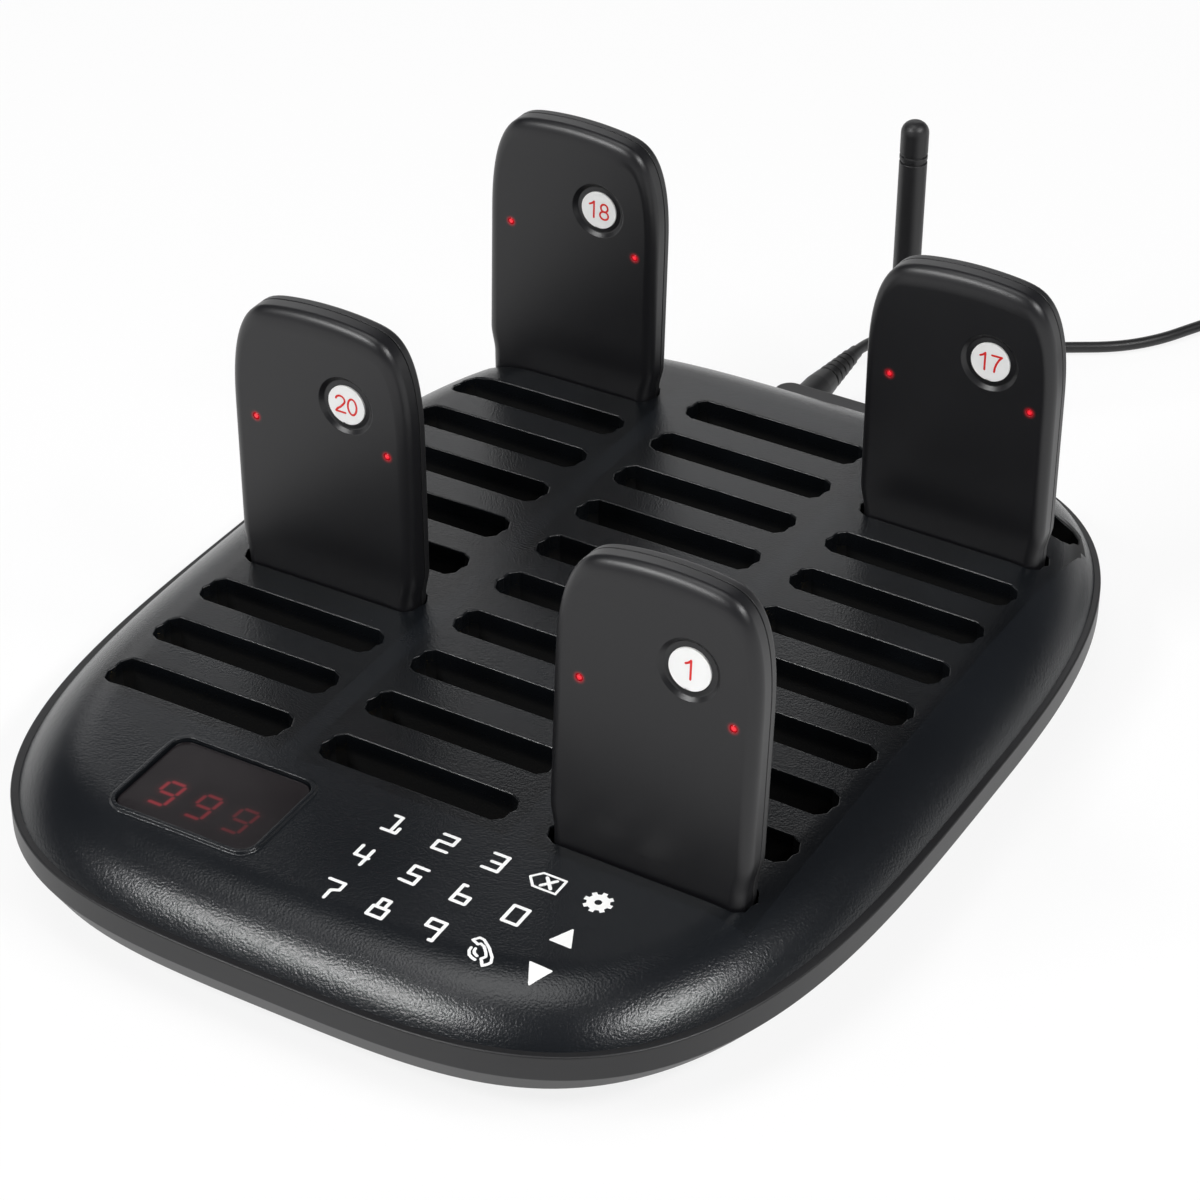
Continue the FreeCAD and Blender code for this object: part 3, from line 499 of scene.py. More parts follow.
def grown(loop, across=RIGHT, along=BACK, centre=(0, 0, 0)):
    """A path that follows a flat loop, grown outward by u."""
    points, normals = loop
    flat = np.outer(points[:, 0], across) + np.outer(points[:, 1], along) + np.array(centre, float)
    outward = np.outer(normals[:, 0], across) + np.outer(normals[:, 1], along)
    return lambda u: (flat + u * outward, outward)


def circle(centre, across=RIGHT, along=BACK, count=64):
    """A path round a centre, where u is the radius."""
    angles = np.linspace(0, 2 * math.pi, count, endpoint=False)
    ring = np.column_stack((np.cos(angles), np.sin(angles)))
    return grown((ring * 0.0, ring), across, along, centre)


def signed_power(value, power):
    """A power that keeps the sign, for rounded-square outlines."""
    return np.sign(value) * np.abs(value) ** power


def housing_points(angles, grow=0.0, grow_front=None):
    """The housing's outline at outline angles, as in the CAD part."""
    grow_front = grow if grow_front is None else grow_front
    rear = np.sin(angles) >= 0
    power_x = np.where(rear, REAR_POWERS[0], FRONT_POWERS[0])
    power_y = np.where(rear, REAR_POWERS[1], FRONT_POWERS[1])
    reach = np.where(rear, REAR_REACH + grow, FRONT_REACH + grow_front)
    x = (HALF_WIDTH + grow) * signed_power(np.cos(angles), 2 / power_x)
    y = WIDEST_Y + reach * signed_power(np.sin(angles), 2 / power_y)
    return np.column_stack((x, y))


def loop_normals(points):
    """Outward normals of a closed loop, counter-clockwise."""
    tangent = unit(np.roll(points, -1, 0) - np.roll(points, 1, 0))
    return np.column_stack((tangent[:, 1], -tangent[:, 0]))


def evenly(values, line, count):
    """Values given at the points of a fine line, read off at equal steps along it."""
    steps = np.linalg.norm(np.diff(line, axis=0), axis=1)
    travelled = np.concatenate(([0], np.cumsum(steps)))
    return np.interp(np.linspace(0, travelled[-1], count, endpoint=False), travelled, values)


def even_angles(count):
    """Outline angles at equal steps along the outline."""
    fine = np.linspace(0, 2 * math.pi, 40001)
    return evenly(fine, housing_points(fine), count)


OUTLINE = even_angles(320)
OUTLINE_NORMALS = loop_normals(housing_points(OUTLINE))


def housing_path(u):
    """A path along the housing's outline, grown by u."""
    flat = housing_points(OUTLINE, u)
    return (np.column_stack((flat, np.zeros(len(flat)))),
            np.column_stack((OUTLINE_NORMALS, np.zeros(len(flat)))))


# ------------------------------------------------------------ the deck's surface

WALL_FINE = housing_points(even_angles(6000), WALL_OUT, WALL_OUT_FRONT)
WALL_FINE_NORMALS = loop_normals(WALL_FINE)
WALL_TREE = KDTree(len(WALL_FINE))
for number, (wall_x, wall_y) in enumerate(WALL_FINE):
    WALL_TREE.insert((wall_x, wall_y, 0.0), number)
WALL_TREE.balance()


def crown_height(points):
    """Height of the deck's wide crown over plan points."""
    return DECK - (points[:, 0] ** 2 + (points[:, 1] - CROWN_Y) ** 2) / (2 * CROWN)


def roll_at(wall, outward):
    """Centre height of the roll at wall points, and the angle at which it meets the crown."""
    centre = wall - ROLL * outward
    slope = ((centre - (0.0, CROWN_Y)) * outward).sum(1) / CROWN
    meeting = centre + (ROLL * slope)[:, None] * outward
    return crown_height(meeting) - ROLL * np.cos(slope), slope


def deck(points):
    """Height and normal of the crowned deck with its rolled edge, at plan points."""
    points = np.asarray(points, float)[:, :2]
    nearest = np.array([WALL_TREE.find((x, y, 0.0))[1] for x, y in points])
    wall, outward = WALL_FINE[nearest], WALL_FINE_NORMALS[nearest]
    centre_height, slope = roll_at(wall, outward)
    lean = np.clip(1 - ((wall - points) * outward).sum(1) / ROLL, -1, 1)
    rolled = lean > np.sin(slope)
    height = np.where(rolled, centre_height + ROLL * np.sqrt(1 - lean ** 2), crown_height(points))
    steep = np.column_stack((outward * lean[:, None], np.sqrt(1 - lean ** 2)))
    flat = np.column_stack((points[:, 0], points[:, 1] - CROWN_Y, np.full(len(points), CROWN)))
    return height, unit(np.where(rolled[:, None], steep, unit(flat)))


# ------------------------------------------------------------ skins


class Skin:
    """Points with their normals and the faces between them, for one piece."""

    def __init__(self):
        self.points, self.normals, self.faces = [], [], []

    def ring(self, points, normals):
        """Add points, and say which numbers they got."""
        first = len(self.points)
        self.points.extend(np.asarray(points, float))
        self.normals.extend(unit(normals))
        return list(range(first, len(self.points)))

    def band(self, low, high):
        """Four-sided faces between two rings."""
        for i in range(len(low)):
            j = (i + 1) % len(low)
            self.faces.append((low[i], low[j], high[j], high[i]))

    def sweep(self, path, line, up=UP, ends="", drape=False):
        """Carry a line round a path. Ends "first" and "last" close the rings there with a flat face."""
        rings, last = [], None
        for (u, v), (out, rise) in zip(*line):
            flat, outward = path(u)
            if drape:
                heights, tilt = deck(flat)
                normals = outward * out + np.outer(np.full(len(flat), rise), up) + tilt * (1, 1, 0) * rise
                points = flat + np.outer(heights + v, up)
            else:
                normals = outward * out + up * rise
                points = flat + up * v
            here = self.ring(points, normals)
            if last is not None and abs(last[0] - u) + abs(last[1] - v) > 1e-9:
                self.band(rings[-1], here)
            rings.append(here)
            last = (u, v)
        for name, ring in (("first", rings[0]), ("last", rings[-1])):
            if name in ends:
                self.faces.append(tuple(ring))
        return rings

    def cover(self, points, triangles, normal):
        """Triangles on points, with one normal or one for each."""
        normals = normal if np.ndim(normal) == 2 else np.tile(normal, (len(points), 1))
        numbers = self.ring(points, normals)
        self.faces.extend(tuple(numbers[i] for i in t) for t in triangles)

    def mesh(self, name):
        """The mesh in metres, with every face turned to the side of its normals."""
        points, normals = np.array(self.points), np.array(self.normals)
        faces = []
        for face in self.faces:
            a, b, c = points[face[0]], points[face[1]], points[face[2]]
            flat = np.cross(b - a, c - a)
            if len(face) > 4:
                ring = points[list(face)]
                flat = np.cross(ring, np.roll(ring, -1, 0)).sum(0)
            elif len(face) == 4:
                flat = np.cross(c - a, points[face[3]] - b)
            if np.linalg.norm(flat) < 1e-9:
                continue
            faces.append(face if flat @ normals[list(face)].sum(0) >= 0 else face[::-1])
        used = sorted({i for face in faces for i in face})
        renumber = {old: new for new, old in enumerate(used)}
        mesh = bpy.data.meshes.new(name)
        mesh.from_pydata((points[used] * METRE).tolist(), [], [[renumber[i] for i in f] for f in faces])
        mesh.polygons.foreach_set("use_smooth", [True] * len(mesh.polygons))
        mesh.normals_split_custom_set_from_vertices(normals[used].tolist())
        return mesh


def show(name, skin, material, body, stands_for=()):
    """Make a piece of a skin, let it ride on its body and stand for its CAD nodes."""
    mesh = skin.mesh(name)
    mesh.materials.append(material)
    obj = add(name, mesh)
    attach(obj, body)
    if stands_for:
        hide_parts(*stands_for)
    return obj


def inside(points, loop):
    """Which points lie inside a closed loop."""
    x, y = points[:, 0][:, None], points[:, 1][:, None]
    (x0, y0), (x1, y1) = loop.T, np.roll(loop, -1, 0).T
    crossing = (y0 > y) != (y1 > y)
    run = np.where(np.abs(y1 - y0) < 1e-12, 1e-12, y1 - y0)
    return (crossing & (x < (x1 - x0) * (y - y0) / run + x0)).sum(1) % 2 == 1


def within(edge, holes):
    """A test for points inside an edge and outside every hole."""
    def wanted(points):
        kept = inside(points, edge)
        for hole in holes:
            near = kept & (points > hole.min(0)).all(1) & (points < hole.max(0)).all(1)
            kept[near] = ~inside(points[near], hole)
        return kept

    return wanted


def triangles_in(loops, keep, lines=(), dots=()):
    """Triangles that fit loops, open lines and single dots in the plane, where keep says so."""
    spots, edges = [], []
    for chain, closed in [(loop, True) for loop in loops] + [(line, False) for line in lines]:
        first = len(spots)
        spots.extend(chain)
        numbers = list(range(first, len(spots)))
        edges += list(zip(numbers, numbers[1:])) + ([(numbers[-1], first)] if closed else [])
    spots.extend(dots)
    made = delaunay_2d_cdt([Vector(s) for s in spots], edges, [], 0, 1e-6)
    flat = np.array([tuple(v) for v in made[0]])
    triangles = np.array([tuple(t) for t in made[2]])
    kept = keep(flat[triangles].mean(1))
    return flat, triangles[kept]


# ------------------------------------------------------------ housing: deck, racks and wells


def slot_path(x, y):
    """A path round a slot, whose ends are notched."""
    corners = SLOT_HALF + [(-a, -b) for a, b in SLOT_HALF]
    centred = [(x + SLOT_SHIFT[0] + a, y + SLOT_SHIFT[1] + b) for a, b in reversed(corners)]
    return grown(rounded_loop(centred, 0.45, 3, spacing=6.0))


def window_path():
    """A path round the display window."""
    middle, half = np.array(WINDOW), np.array(WINDOW_SIZE) / 2
    return grown(rounded_loop(oblong(middle - half, middle + half), WINDOW_CORNER, 8, 4.0))


RACK_FRONT, RACK_BACK = FIRST_ROW - RACK_MARGIN, FIRST_ROW + (ROWS - 1) * ROW_PITCH + RACK_MARGIN
RACK_LIMIT = housing_points(OUTLINE, -RACK_INSET)


def beside(points, x):
    """Which points lie in the upright rectangle of the rack at x."""
    return ((np.abs(points[:, 0] - x) < RACK_HALF)
            & (points[:, 1] > RACK_FRONT) & (points[:, 1] < RACK_BACK))


def rack_lines():
    """The seams between the racks and the top shell, as open lines."""
    lines = []
    for x in COLUMNS.values():
        corners = oblong((x - RACK_HALF, RACK_FRONT), (x + RACK_HALF, RACK_BACK))
        around, _ = filled([np.array(c, float) for c in corners], [RIGHT[:2]] * 4, GRID_STEP)
        around = np.array(around + around[:1])
        lines += runs(around, inside(around, RACK_LIMIT)) + runs(RACK_LIMIT, beside(RACK_LIMIT, x))
    return lines


def runs(points, wanted):
    """The stretches of a line whose points are wanted."""
    found, current = [], []
    for point, good in zip(points, wanted):
        if good:
            current.append(point)
        elif current:
            found.append(current)
            current = []
    return [run for run in found + [current] if len(run) > 1]


def roll_rings(wall, outward):
    """Plan rings down the deck's roll, from the foot of the wall to the crown."""
    centre_height, slope = roll_at(wall, outward)
    foot_lean = np.arccos(np.clip((LEDGE - centre_height) / ROLL, -1, 1))
    leans = [foot_lean + (slope - foot_lean) * share for share in np.linspace(0, 1, 13)]
    return [wall - (ROLL * (1 - np.sin(lean)))[:, None] * outward for lean in leans]


def deck_dots(limit):
    """A grid of plan points inside a limit, clear of the window and the slots."""
    spread = np.arange(-GRID_REACH, GRID_REACH + 1, GRID_STEP)
    grid = np.array([(x, y) for x in spread for y in spread])
    clear = inside(grid, limit)
    slots = [((x, y + SLOT_SHIFT[1]), SLOT_CLEAR) for _, x, y in SLOTS]
    for middle, size in [(WINDOW, WINDOW_CLEAR)] + slots:
        clear &= (np.abs(grid - middle) > size).any(1)
    return grid[clear]


def housing_top():
    """One surface over the whole deck, shared out between the top shell and the three racks."""
    wells = [(side, slot_path(x, y)) for side, x, y in SLOTS]
    wall = housing_points(OUTLINE, WALL_OUT, WALL_OUT_FRONT)
    outward = loop_normals(wall)
    rings = roll_rings(wall, outward)
    holes = [path(SLOT_EDGE)[0][:, :2] for _, path in wells] + [window_path()(LIP_REACH)[0][:, :2]]
    dots = deck_dots(rings[-1] - 2.0 * outward)
    flat, triangles = triangles_in(rings + holes, within(rings[0], holes), rack_lines(), dots)
    heights, normals = deck(flat)
    middles = flat[triangles].mean(1)
    skins = {side: Skin() for side in ("shell", *COLUMNS)}
    owner = np.full(len(triangles), "shell", dtype="<U8")
    for side, x in COLUMNS.items():
        owner[beside(middles, x) & inside(middles, RACK_LIMIT)] = side
    surface = np.column_stack((flat, heights))
    for side, skin in skins.items():
        skin.cover(surface, triangles[owner == side], normals)
    for side, path in wells:
        well(skins[side], path)
    tuck_under(skins["shell"], rings[0], outward)
    line = rounded_line([(0.0, -1.4), (0.15, 0.8, 0.3), (1.2, 0.8, 0.45), (1.75, 0.0, 0.5),
                         (LIP_REACH, 0.0)], 5)
    skins["shell"].sweep(window_path(), line, drape=True)
    show("top_shell_skin", skins["shell"], HOUSING, "base", ["top_shell"])
    for side in COLUMNS:
        show("rack_%s_skin" % side, skins[side], RACKS, "base", ["slot_rack_" + side])


def tuck_under(shell, foot_ring, outward):
    """The narrow under-edge at the foot of the top shell's wall."""
    foot = shell.ring(np.column_stack((foot_ring, np.full(len(foot_ring), LEDGE))), deck(foot_ring)[1])
    tucked = np.column_stack((foot_ring - 0.9 * outward, np.full(len(foot_ring), LEDGE - 0.05)))
    shell.band(foot, shell.ring(tucked, np.tile(DOWN, (len(foot_ring), 1))))


def well(skin, path):
    """A slot's rounded edge, its walls and its floor."""
    edge_flat, edge_out = path(SLOT_EDGE)
    heights, normals = deck(edge_flat)
    rings = []
    for angle in np.linspace(0, math.pi / 2, 4):
        flat, _ = path(SLOT_EDGE * (1 - math.sin(angle)))
        drop = SLOT_EDGE * (1 - math.cos(angle))
        bent = normals * math.cos(angle) - edge_out * math.sin(angle)
        rings.append(skin.ring(flat + np.outer(heights - drop, UP), bent))
    flat, outward = path(0.0)
    rings.append(skin.ring(flat + UP * (WELL_FLOOR + WELL_EDGE), -outward))
    flat, _ = path(-WELL_EDGE)
    rings.append(skin.ring(flat + UP * WELL_FLOOR, UP - 0.2 * outward))
    for low, high in zip(rings, rings[1:]):
        skin.band(low, high)
    skin.faces.append(tuple(rings[-1]))


housing_top()


def window_plate():
    """The smoked window, its edge rounded into the lip."""
    skin = Skin()
    line = rounded_line([(-4.0, -0.3), (-0.2, -0.3, 0.25), (-0.2, -4.0)], 3)
    skin.sweep(window_path(), line, drape=True, ends="first")
    show("window_plate", skin, WINDOW_GLASS, "base", ["display_window"])


window_plate()

# ------------------------------------------------------------ housing: tray, bump, feet


def lower_front(skin, ring):
    """Let the foot of the bevel sink towards the front of the tray."""
    for i, outward in zip(ring, OUTLINE_NORMALS):
        sink = FRONT_SINK * max(0.0, -outward[1]) ** 2
        height = skin.points[i][2]
        if PAN < height < WALL_FOOT:
            above = height > BEVEL_FOOT
            span = WALL_FOOT - BEVEL_FOOT if above else BEVEL_FOOT - PAN
            share = (WALL_FOOT - height if above else height - PAN) / span
            skin.points[i][2] = height - sink * share
            skin.normals[i][2] /= 1 + sink / span if above else 1 - sink / span
            skin.normals[i] = unit(skin.normals[i])


def tray():
    """The tray: ledge, wall, inward bevel, belly and pan with its screw holes."""
    skin = Skin()
    line = rounded_line([(-5.5, LEDGE), (0.0, LEDGE, 0.55), (0.0, WALL_FOOT, 0.6),
                         (-BEVEL_INSET, BEVEL_FOOT, 0.6), (-PAN_INSET, PAN, 2.0), (-PAN_INSET - 4, PAN)], 4)
    rings = skin.sweep(housing_path, line)
    for ring in rings:
        lower_front(skin, ring)
    edge = np.array([skin.points[i][:2] for i in rings[-1]])
    holes = [circle((x, y, 0), count=32) for x, y in SCREWS]
    rims = [path(SCREW_RIM)[0][:, :2] for path in holes]
    flat, triangles = triangles_in([edge] + rims, within(edge, rims))
    skin.cover(np.column_stack((flat, np.full(len(flat), PAN))), triangles, DOWN)
    recess = rounded_line([(0.4, -SCREW_TOP), (SCREW_HOLE, -SCREW_TOP, 0.2), (SCREW_HOLE, -PAN, 0.2),
                           (SCREW_RIM, -PAN)], 2)
    for path in holes:
        skin.sweep(path, recess, up=DOWN)
    show("tray_skin", skin, TRAY, "base", ["bottom_shell"])


def bump():
    """The connector bump on the back of the tray."""
    skin = Skin()
    path = grown(rounded_loop(oblong(BUMP_LOW, BUMP_HIGH), 5.0, 8, 8.0))
    line = rounded_line([(-5.0, 22.4), (0.0, 22.4, 0.9), (0.0, 8.0, 0.9), (-5.0, 8.0)], 4)
    skin.sweep(path, line, ends="first last")
    show("connector_bump", skin, TRAY, "base")


def feet():
    """The four round rubber feet."""
    skin = Skin()
    line = rounded_line([(0.5, 0.0), (FOOT_RADIUS, 0.0, 0.8), (FOOT_RADIUS, -PAN)], 4)
    for x, y in FEET:
        skin.sweep(circle((x, y, 0), count=48), line, up=DOWN, ends="first")
    show("feet", skin, RUBBER, "base", ["rubber_feet"])


tray()
bump()
feet()

# ------------------------------------------------------------ printed marks


def near_lines(points, lines):
    """Distance from points to the nearest of some open lines."""
    best = np.full(len(points), 1e9)
    for line in lines:
        for a, b in zip(line, line[1:]):
            a, b = np.array(a, float), np.array(b, float)
            along = np.clip(((points - a) @ (b - a)) / max((b - a) @ (b - a), 1e-12), 0, 1)
            best = np.minimum(best, np.linalg.norm(points - a - along[:, None] * (b - a), axis=1))
    return best


def pill(a, b, half, steps=5):
    """The closed outline of one stroke with round ends."""
    a, b = np.array(a, float), np.array(b, float)
    ahead = unit(b - a)
    side = np.array((-ahead[1], ahead[0]))
    outline = []
    for centre, start in ((b, -side), (a, side)):
        outline += [centre + turned(start, math.pi * step / steps) * half for step in range(steps + 1)]
    return np.array(filled(outline, outline, 0.9)[0])


def strokes(lines, width):
    """Flat triangles of pen strokes of one width, joined without overlap."""
    half = width / 2
    pills = [pill(a, b, half) for line in lines for a, b in zip(line, line[1:])]
    return triangles_in(pills, lambda points: near_lines(points, lines) < half)


def patch(outline, hole=None):
    """Flat triangles inside an outline, less a hole."""
    loops = [np.array(outline)] + ([np.array(hole)] if hole is not None else [])
    wanted = within(loops[0], loops[1:])
    spread = np.arange(-5.6, 5.7, 0.8)
    dots = np.array([(x, y) for x in spread for y in spread])
    return triangles_in(loops, wanted, dots=dots[wanted(dots)])


def arc(centre, radius, start, end, steps=14):
    """Points of an arc, angles in degrees; the radius is a number or (x, y)."""
    rx, ry = radius if isinstance(radius, tuple) else (radius, radius)
    angles = np.radians(np.linspace(start, end, steps + 1))
    return [(centre[0] + rx * math.cos(t), centre[1] + ry * math.sin(t)) for t in angles]


KEY_PEN, PRINT_LIFT = 1.0, 0.08
KEY_LINES = {
    "1": [[(-1.8, 3.4), (0.3, 3.4), (0.3, -2.6)], [(-2.2, -2.6), (1.9, -2.6), (1.9, -0.6)]],
    "2": [[(-2.0, 3.4), (2.2, 3.4), (2.2, 0.5), (-2.0, 0.5), (-2.0, -2.6), (2.2, -2.6)]],
    "3": [[(-2.0, 3.4), (2.2, 3.4), (2.2, -2.6), (-2.2, -2.6)], [(-1.0, 0.3), (2.2, 0.3)]],
    "4": [[(-2.4, 3.9), (-2.4, 0.1), (1.6, 0.1)], [(1.0, 3.4), (1.0, -2.8)]],
    "5": [[(2.2, 3.7), (-1.7, 3.7), (-1.7, 0.6), (1.7, 0.6), (1.7, -2.6), (-2.4, -2.4)]],
    "6": [[(-1.2, 3.6), (-2.2, 3.6), (-2.2, -2.7), (1.8, -2.7), (1.8, 0.0), (-2.2, 0.0)]],
    "7": [[(-2.5, 3.6), (2.0, 3.6), (2.0, 1.0), (0.1, 0.1), (0.1, -3.0)]],
    "8": [[(-1.7, 3.6), (0.6, 3.6), (0.6, 0.5), (-1.7, 0.5), (-1.7, 3.6)],
          [(-2.4, 0.5), (-2.4, -2.8), (1.9, -2.8), (1.9, 0.5), (-2.4, 0.5)]],
    "9": [[(1.8, 0.7), (-2.2, 0.7), (-2.2, 3.5), (2.0, 3.5), (2.0, -3.3), (1.1, -3.3)]],
    "0": [[(-2.2, 3.3), (2.0, 3.3), (2.0, -2.8), (-2.2, -2.8), (-2.2, 3.3)]],
}
KEY_PLACES = {
    "1": (0, 0), "2": (1, 0), "3": (2, 0), "erase": (3, 0), "gear": (4, 0),
    "4": (0, 1), "5": (1, 1), "6": (2, 1), "0": (3, 1), "next": (4, 1),
    "7": (0, 2), "8": (1, 2), "9": (2, 2), "call": (3, 2), "back": (4, 2),
}
KEY_FIRST, KEY_PITCH = (5.6, -114.6), (14.7, -14.3)


def key_marks():
    """The white marks on the touch keys, each with its flat triangles."""
    marks = {name: [strokes(lines, KEY_PEN)] for name, lines in KEY_LINES.items()}
    tag = [(-4.6, 0.2), (-2.3, 2.9), (4.1, 2.9), (4.1, -2.6), (-2.3, -2.6), (-4.6, 0.2)]
    cross = [[(-0.7, 1.8), (2.1, -1.5)], [(2.1, 1.8), (-0.7, -1.5)]]
    marks["erase"] = [strokes([tag], 0.72), strokes(cross, 0.95)]
    teeth, rim = 8, []
    for tooth in range(teeth):
        middle = 360 * tooth / teeth
        for offset, radius in ((-13, 2.95), (-9.5, 3.85), (9.5, 3.85), (13, 2.95)):
            rim += arc((0, 0.1), radius, middle + offset, middle + offset, 0)
    marks["gear"] = [patch(rim, arc((0, 0.1), 0.95, 0, 345, 23))]
    for name, tip in (("next", [(-0.2, 3.2), (-3.4, -3.4), (3.0, -3.5)]),
                      ("back", [(-3.5, 2.3), (0.0, -4.1), (3.2, 2.3)])):
        marks[name] = [patch(rounded_loop(tip, 0.25, 3, spacing=0.8)[0])]
    handset = [(-4.3, 1.8), (-3.2, 3.3), (-2.0, 3.2), (0.5, 1.4), (2.9, -1.1), (3.5, -2.6), (3.0, -3.5),
               (2.1, -4.3), (0.8, -2.7), (1.5, -1.6), (0.8, -0.5), (-0.7, 1.1), (-1.9, 1.6), (-2.4, 1.0),
               (-4.3, 1.8)]
    waves = [[(-2.1, -0.5), (-2.0, -1.3), (-1.5, -2.0), (-0.5, -2.4)],
             [(-3.2, -0.7), (-3.1, -1.8), (-2.4, -2.9), (-1.4, -3.4), (-0.3, -3.6)]]
    marks["call"] = [strokes([handset], 0.78), strokes(waves, 0.78)]
    return marks


def print_keys():
    """All key marks as one thin print on the deck."""
    skin = Skin()
    for name, parts in key_marks().items():
        column, row = KEY_PLACES[name]
        centre = np.array(KEY_FIRST) + np.array(KEY_PITCH) * (column, row)
        for flat, triangles in parts:
            heights, normals = deck(flat + centre)
            points = np.column_stack((flat + centre, heights + PRINT_LIFT))
            skin.cover(points, triangles, normals)
    show("key_marks", skin, WHITE_PRINT, "base")


print_keys()

# ------------------------------------------------------------ pagers

PAGERS = {
    "pager_20": dict(column=-1, row=4, lean=0.2, roll=-0.43, shift=(0.19, 0.0), number="20"),
    "pager_18": dict(column=-1, row=10, lean=0.2, roll=1.04, shift=(0.35, 0.0), number="18"),
    "pager_1": dict(column=1, row=1, lean=4.5, roll=-0.62, shift=(-0.04, 0.5), number="1"),
    "pager_17": dict(column=1, row=9, lean=0.33, roll=-0.49, shift=(-0.35, 0.0), number="17"),
}
# A pager's own frame: x across it, y through it, z up from the deck.
PAGER_LAMPS = [(-20.15, 47.2), (21.95, 47.2)]
PAGER_HALF, PAGER_TOP, PAGER_SHOULDER, PAGER_CREST = 28.3, 82.5, 48.0, 100.0
PAGER_SLOT_HALF, PAGER_FOOT, FOOT_CORNER, FULL_WIDTH_FROM = 26.9, -21.7, 3.6, 9.0
PAGER_FRONT, PAGER_BACK_Y = -4.85, 5.15
SEAM = (1.6, 1.9)
TAPER_TOP, TAPER_DEPTH = -1.0, 1.6
SLOT_CORNER, SLOT_CORNER_REACH, SLOT_CORNER_EASE = (0.724, -0.69, -0.062), 21.6, 0.12
TOP_ROLL = 0.8
DISC_AT, DISC_RADIUS, DISC_NOTCH = (9.3, 59.0), 5.75, 0.9
DISH_RADIUS, DISH_RIM, LAMP_HOLE, LAMP_RIM = 8.5, 9.2, 1.05, 1.3
CONTACT_X, CONTACT_Y, CONTACT_HALF = 15.0, -0.4, (3.0, 1.2)
# Where a tilted pager bears on its well.
BEARS_AT_X, BEARS_AT_Y = 24.0, 3.5


def pager_loop(count=200):
    """Front view of a pager: narrow in its slot, full above the deck, drawn in to a shallow crest."""
    foot = arc((PAGER_SLOT_HALF - FOOT_CORNER, PAGER_FOOT + FOOT_CORNER), FOOT_CORNER, -90, 0, 12)
    heights = np.linspace(PAGER_FOOT + FOOT_CORNER, PAGER_SHOULDER, 300)
    share = np.clip(heights / FULL_WIDTH_FROM, 0, 1)
    widths = PAGER_SLOT_HALF + (PAGER_HALF - PAGER_SLOT_HALF) * share ** 2 * (3 - 2 * share)
    right = np.vstack((foot, np.column_stack((widths, heights))))
    turn = np.linspace(0, math.pi, 3001)[1:-1]
    across = PAGER_HALF * signed_power(np.cos(turn), 0.4)
    sunk = (PAGER_TOP - PAGER_SHOULDER) * (1 - np.sin(turn) ** 0.8)
    crest = across ** 2 / (2 * PAGER_CREST)
    top = np.column_stack((across, PAGER_TOP - np.cbrt(sunk ** 3 + crest ** 3)))
    fine = np.vstack((right, top, right[::-1] * (-1, 1), right[:1]))
    points = np.column_stack([evenly(fine[:, axis], fine, count) for axis in (0, 1)])
    return points, loop_normals(points)


PAGER_LOOP = pager_loop()
PAGER_PATH = grown(PAGER_LOOP, RIGHT, UP)


def broad_top(u):
    """The pager's outline grown by u, where the roll along the top is broader than at the sides."""
    points, normals = PAGER_LOOP
    stretch = (1 + TOP_ROLL * np.clip(normals[:, 1], 0, 1) ** 2)[:, None]
    flat, outward = grown((points, normals * stretch), RIGHT, UP)(u)
    return flat, outward / stretch ** 2


def tapered(skin, corners=False):
    """Thin the foot of a pager's shell and bevel its front corners, as the CAD part does."""
    for point in skin.points:
        depth = max(0.0, (TAPER_TOP - point[2]) / (TAPER_TOP - PAGER_FOOT + 1))
        full = -PAGER_FRONT if point[1] < 0 else PAGER_BACK_Y
        point[1] *= 1 - depth * TAPER_DEPTH / full
        if corners:
            outward = np.array(SLOT_CORNER) * (math.copysign(1.0, point[0]), 1, 1)
            reach = SLOT_CORNER_REACH + SLOT_CORNER_EASE * max(0.0, point[2])
            point -= outward * max(0.0, point @ outward - reach)
    return skin


def face_points(spots):
    """Spots of the pager's face, x and z, as points on it."""
    return np.column_stack((spots[:, 0], np.full(len(spots), PAGER_FRONT), spots[:, 1]))


def face_circle(x, z, count=24):
    """A path round a spot of the pager's face."""
    return circle((x, PAGER_FRONT, z), RIGHT, UP, count)


def front_shell():
    """The front shell: rolled edge, dished seat of the number disc, two lamp holes."""
    skin = Skin()
    line = rounded_line([(-3.5, -PAGER_FRONT), (0.0, -PAGER_FRONT, 3.4), (0.0, -SEAM[0], 0.18),
                         (-1.4, -SEAM[0])], 8)
    rings = skin.sweep(broad_top, line, up=FRONT)
    edge = np.array([skin.points[i][[0, 2]] for i in rings[0]])
    dish, lamps = face_circle(*DISC_AT, 72), [face_circle(x, z) for x, z in PAGER_LAMPS]
    rims = [dish(DISH_RIM)[0][:, [0, 2]]] + [lamp(LAMP_RIM)[0][:, [0, 2]] for lamp in lamps]
    flat, triangles = triangles_in([edge] + rims, within(edge, rims))
    skin.cover(face_points(flat), triangles, FRONT)
    seat_radius = DISC_RADIUS + 0.16
    seat = rounded_line([(0.3, -1.1), (seat_radius, -1.1, 0.05), (seat_radius, -0.75, 0.12),
                         (7.3, -1.0, 0.6), (DISH_RADIUS, 0.0, 0.45), (DISH_RIM, 0.0)], 4)
    skin.sweep(dish, seat, up=FRONT, ends="first")
    hole = rounded_line([(LAMP_HOLE, -1.2), (LAMP_HOLE, 0.0, 0.15), (LAMP_RIM, 0.0)], 3)
    for lamp in lamps:
        skin.sweep(lamp, hole, up=FRONT)
    return tapered(skin, corners=True)


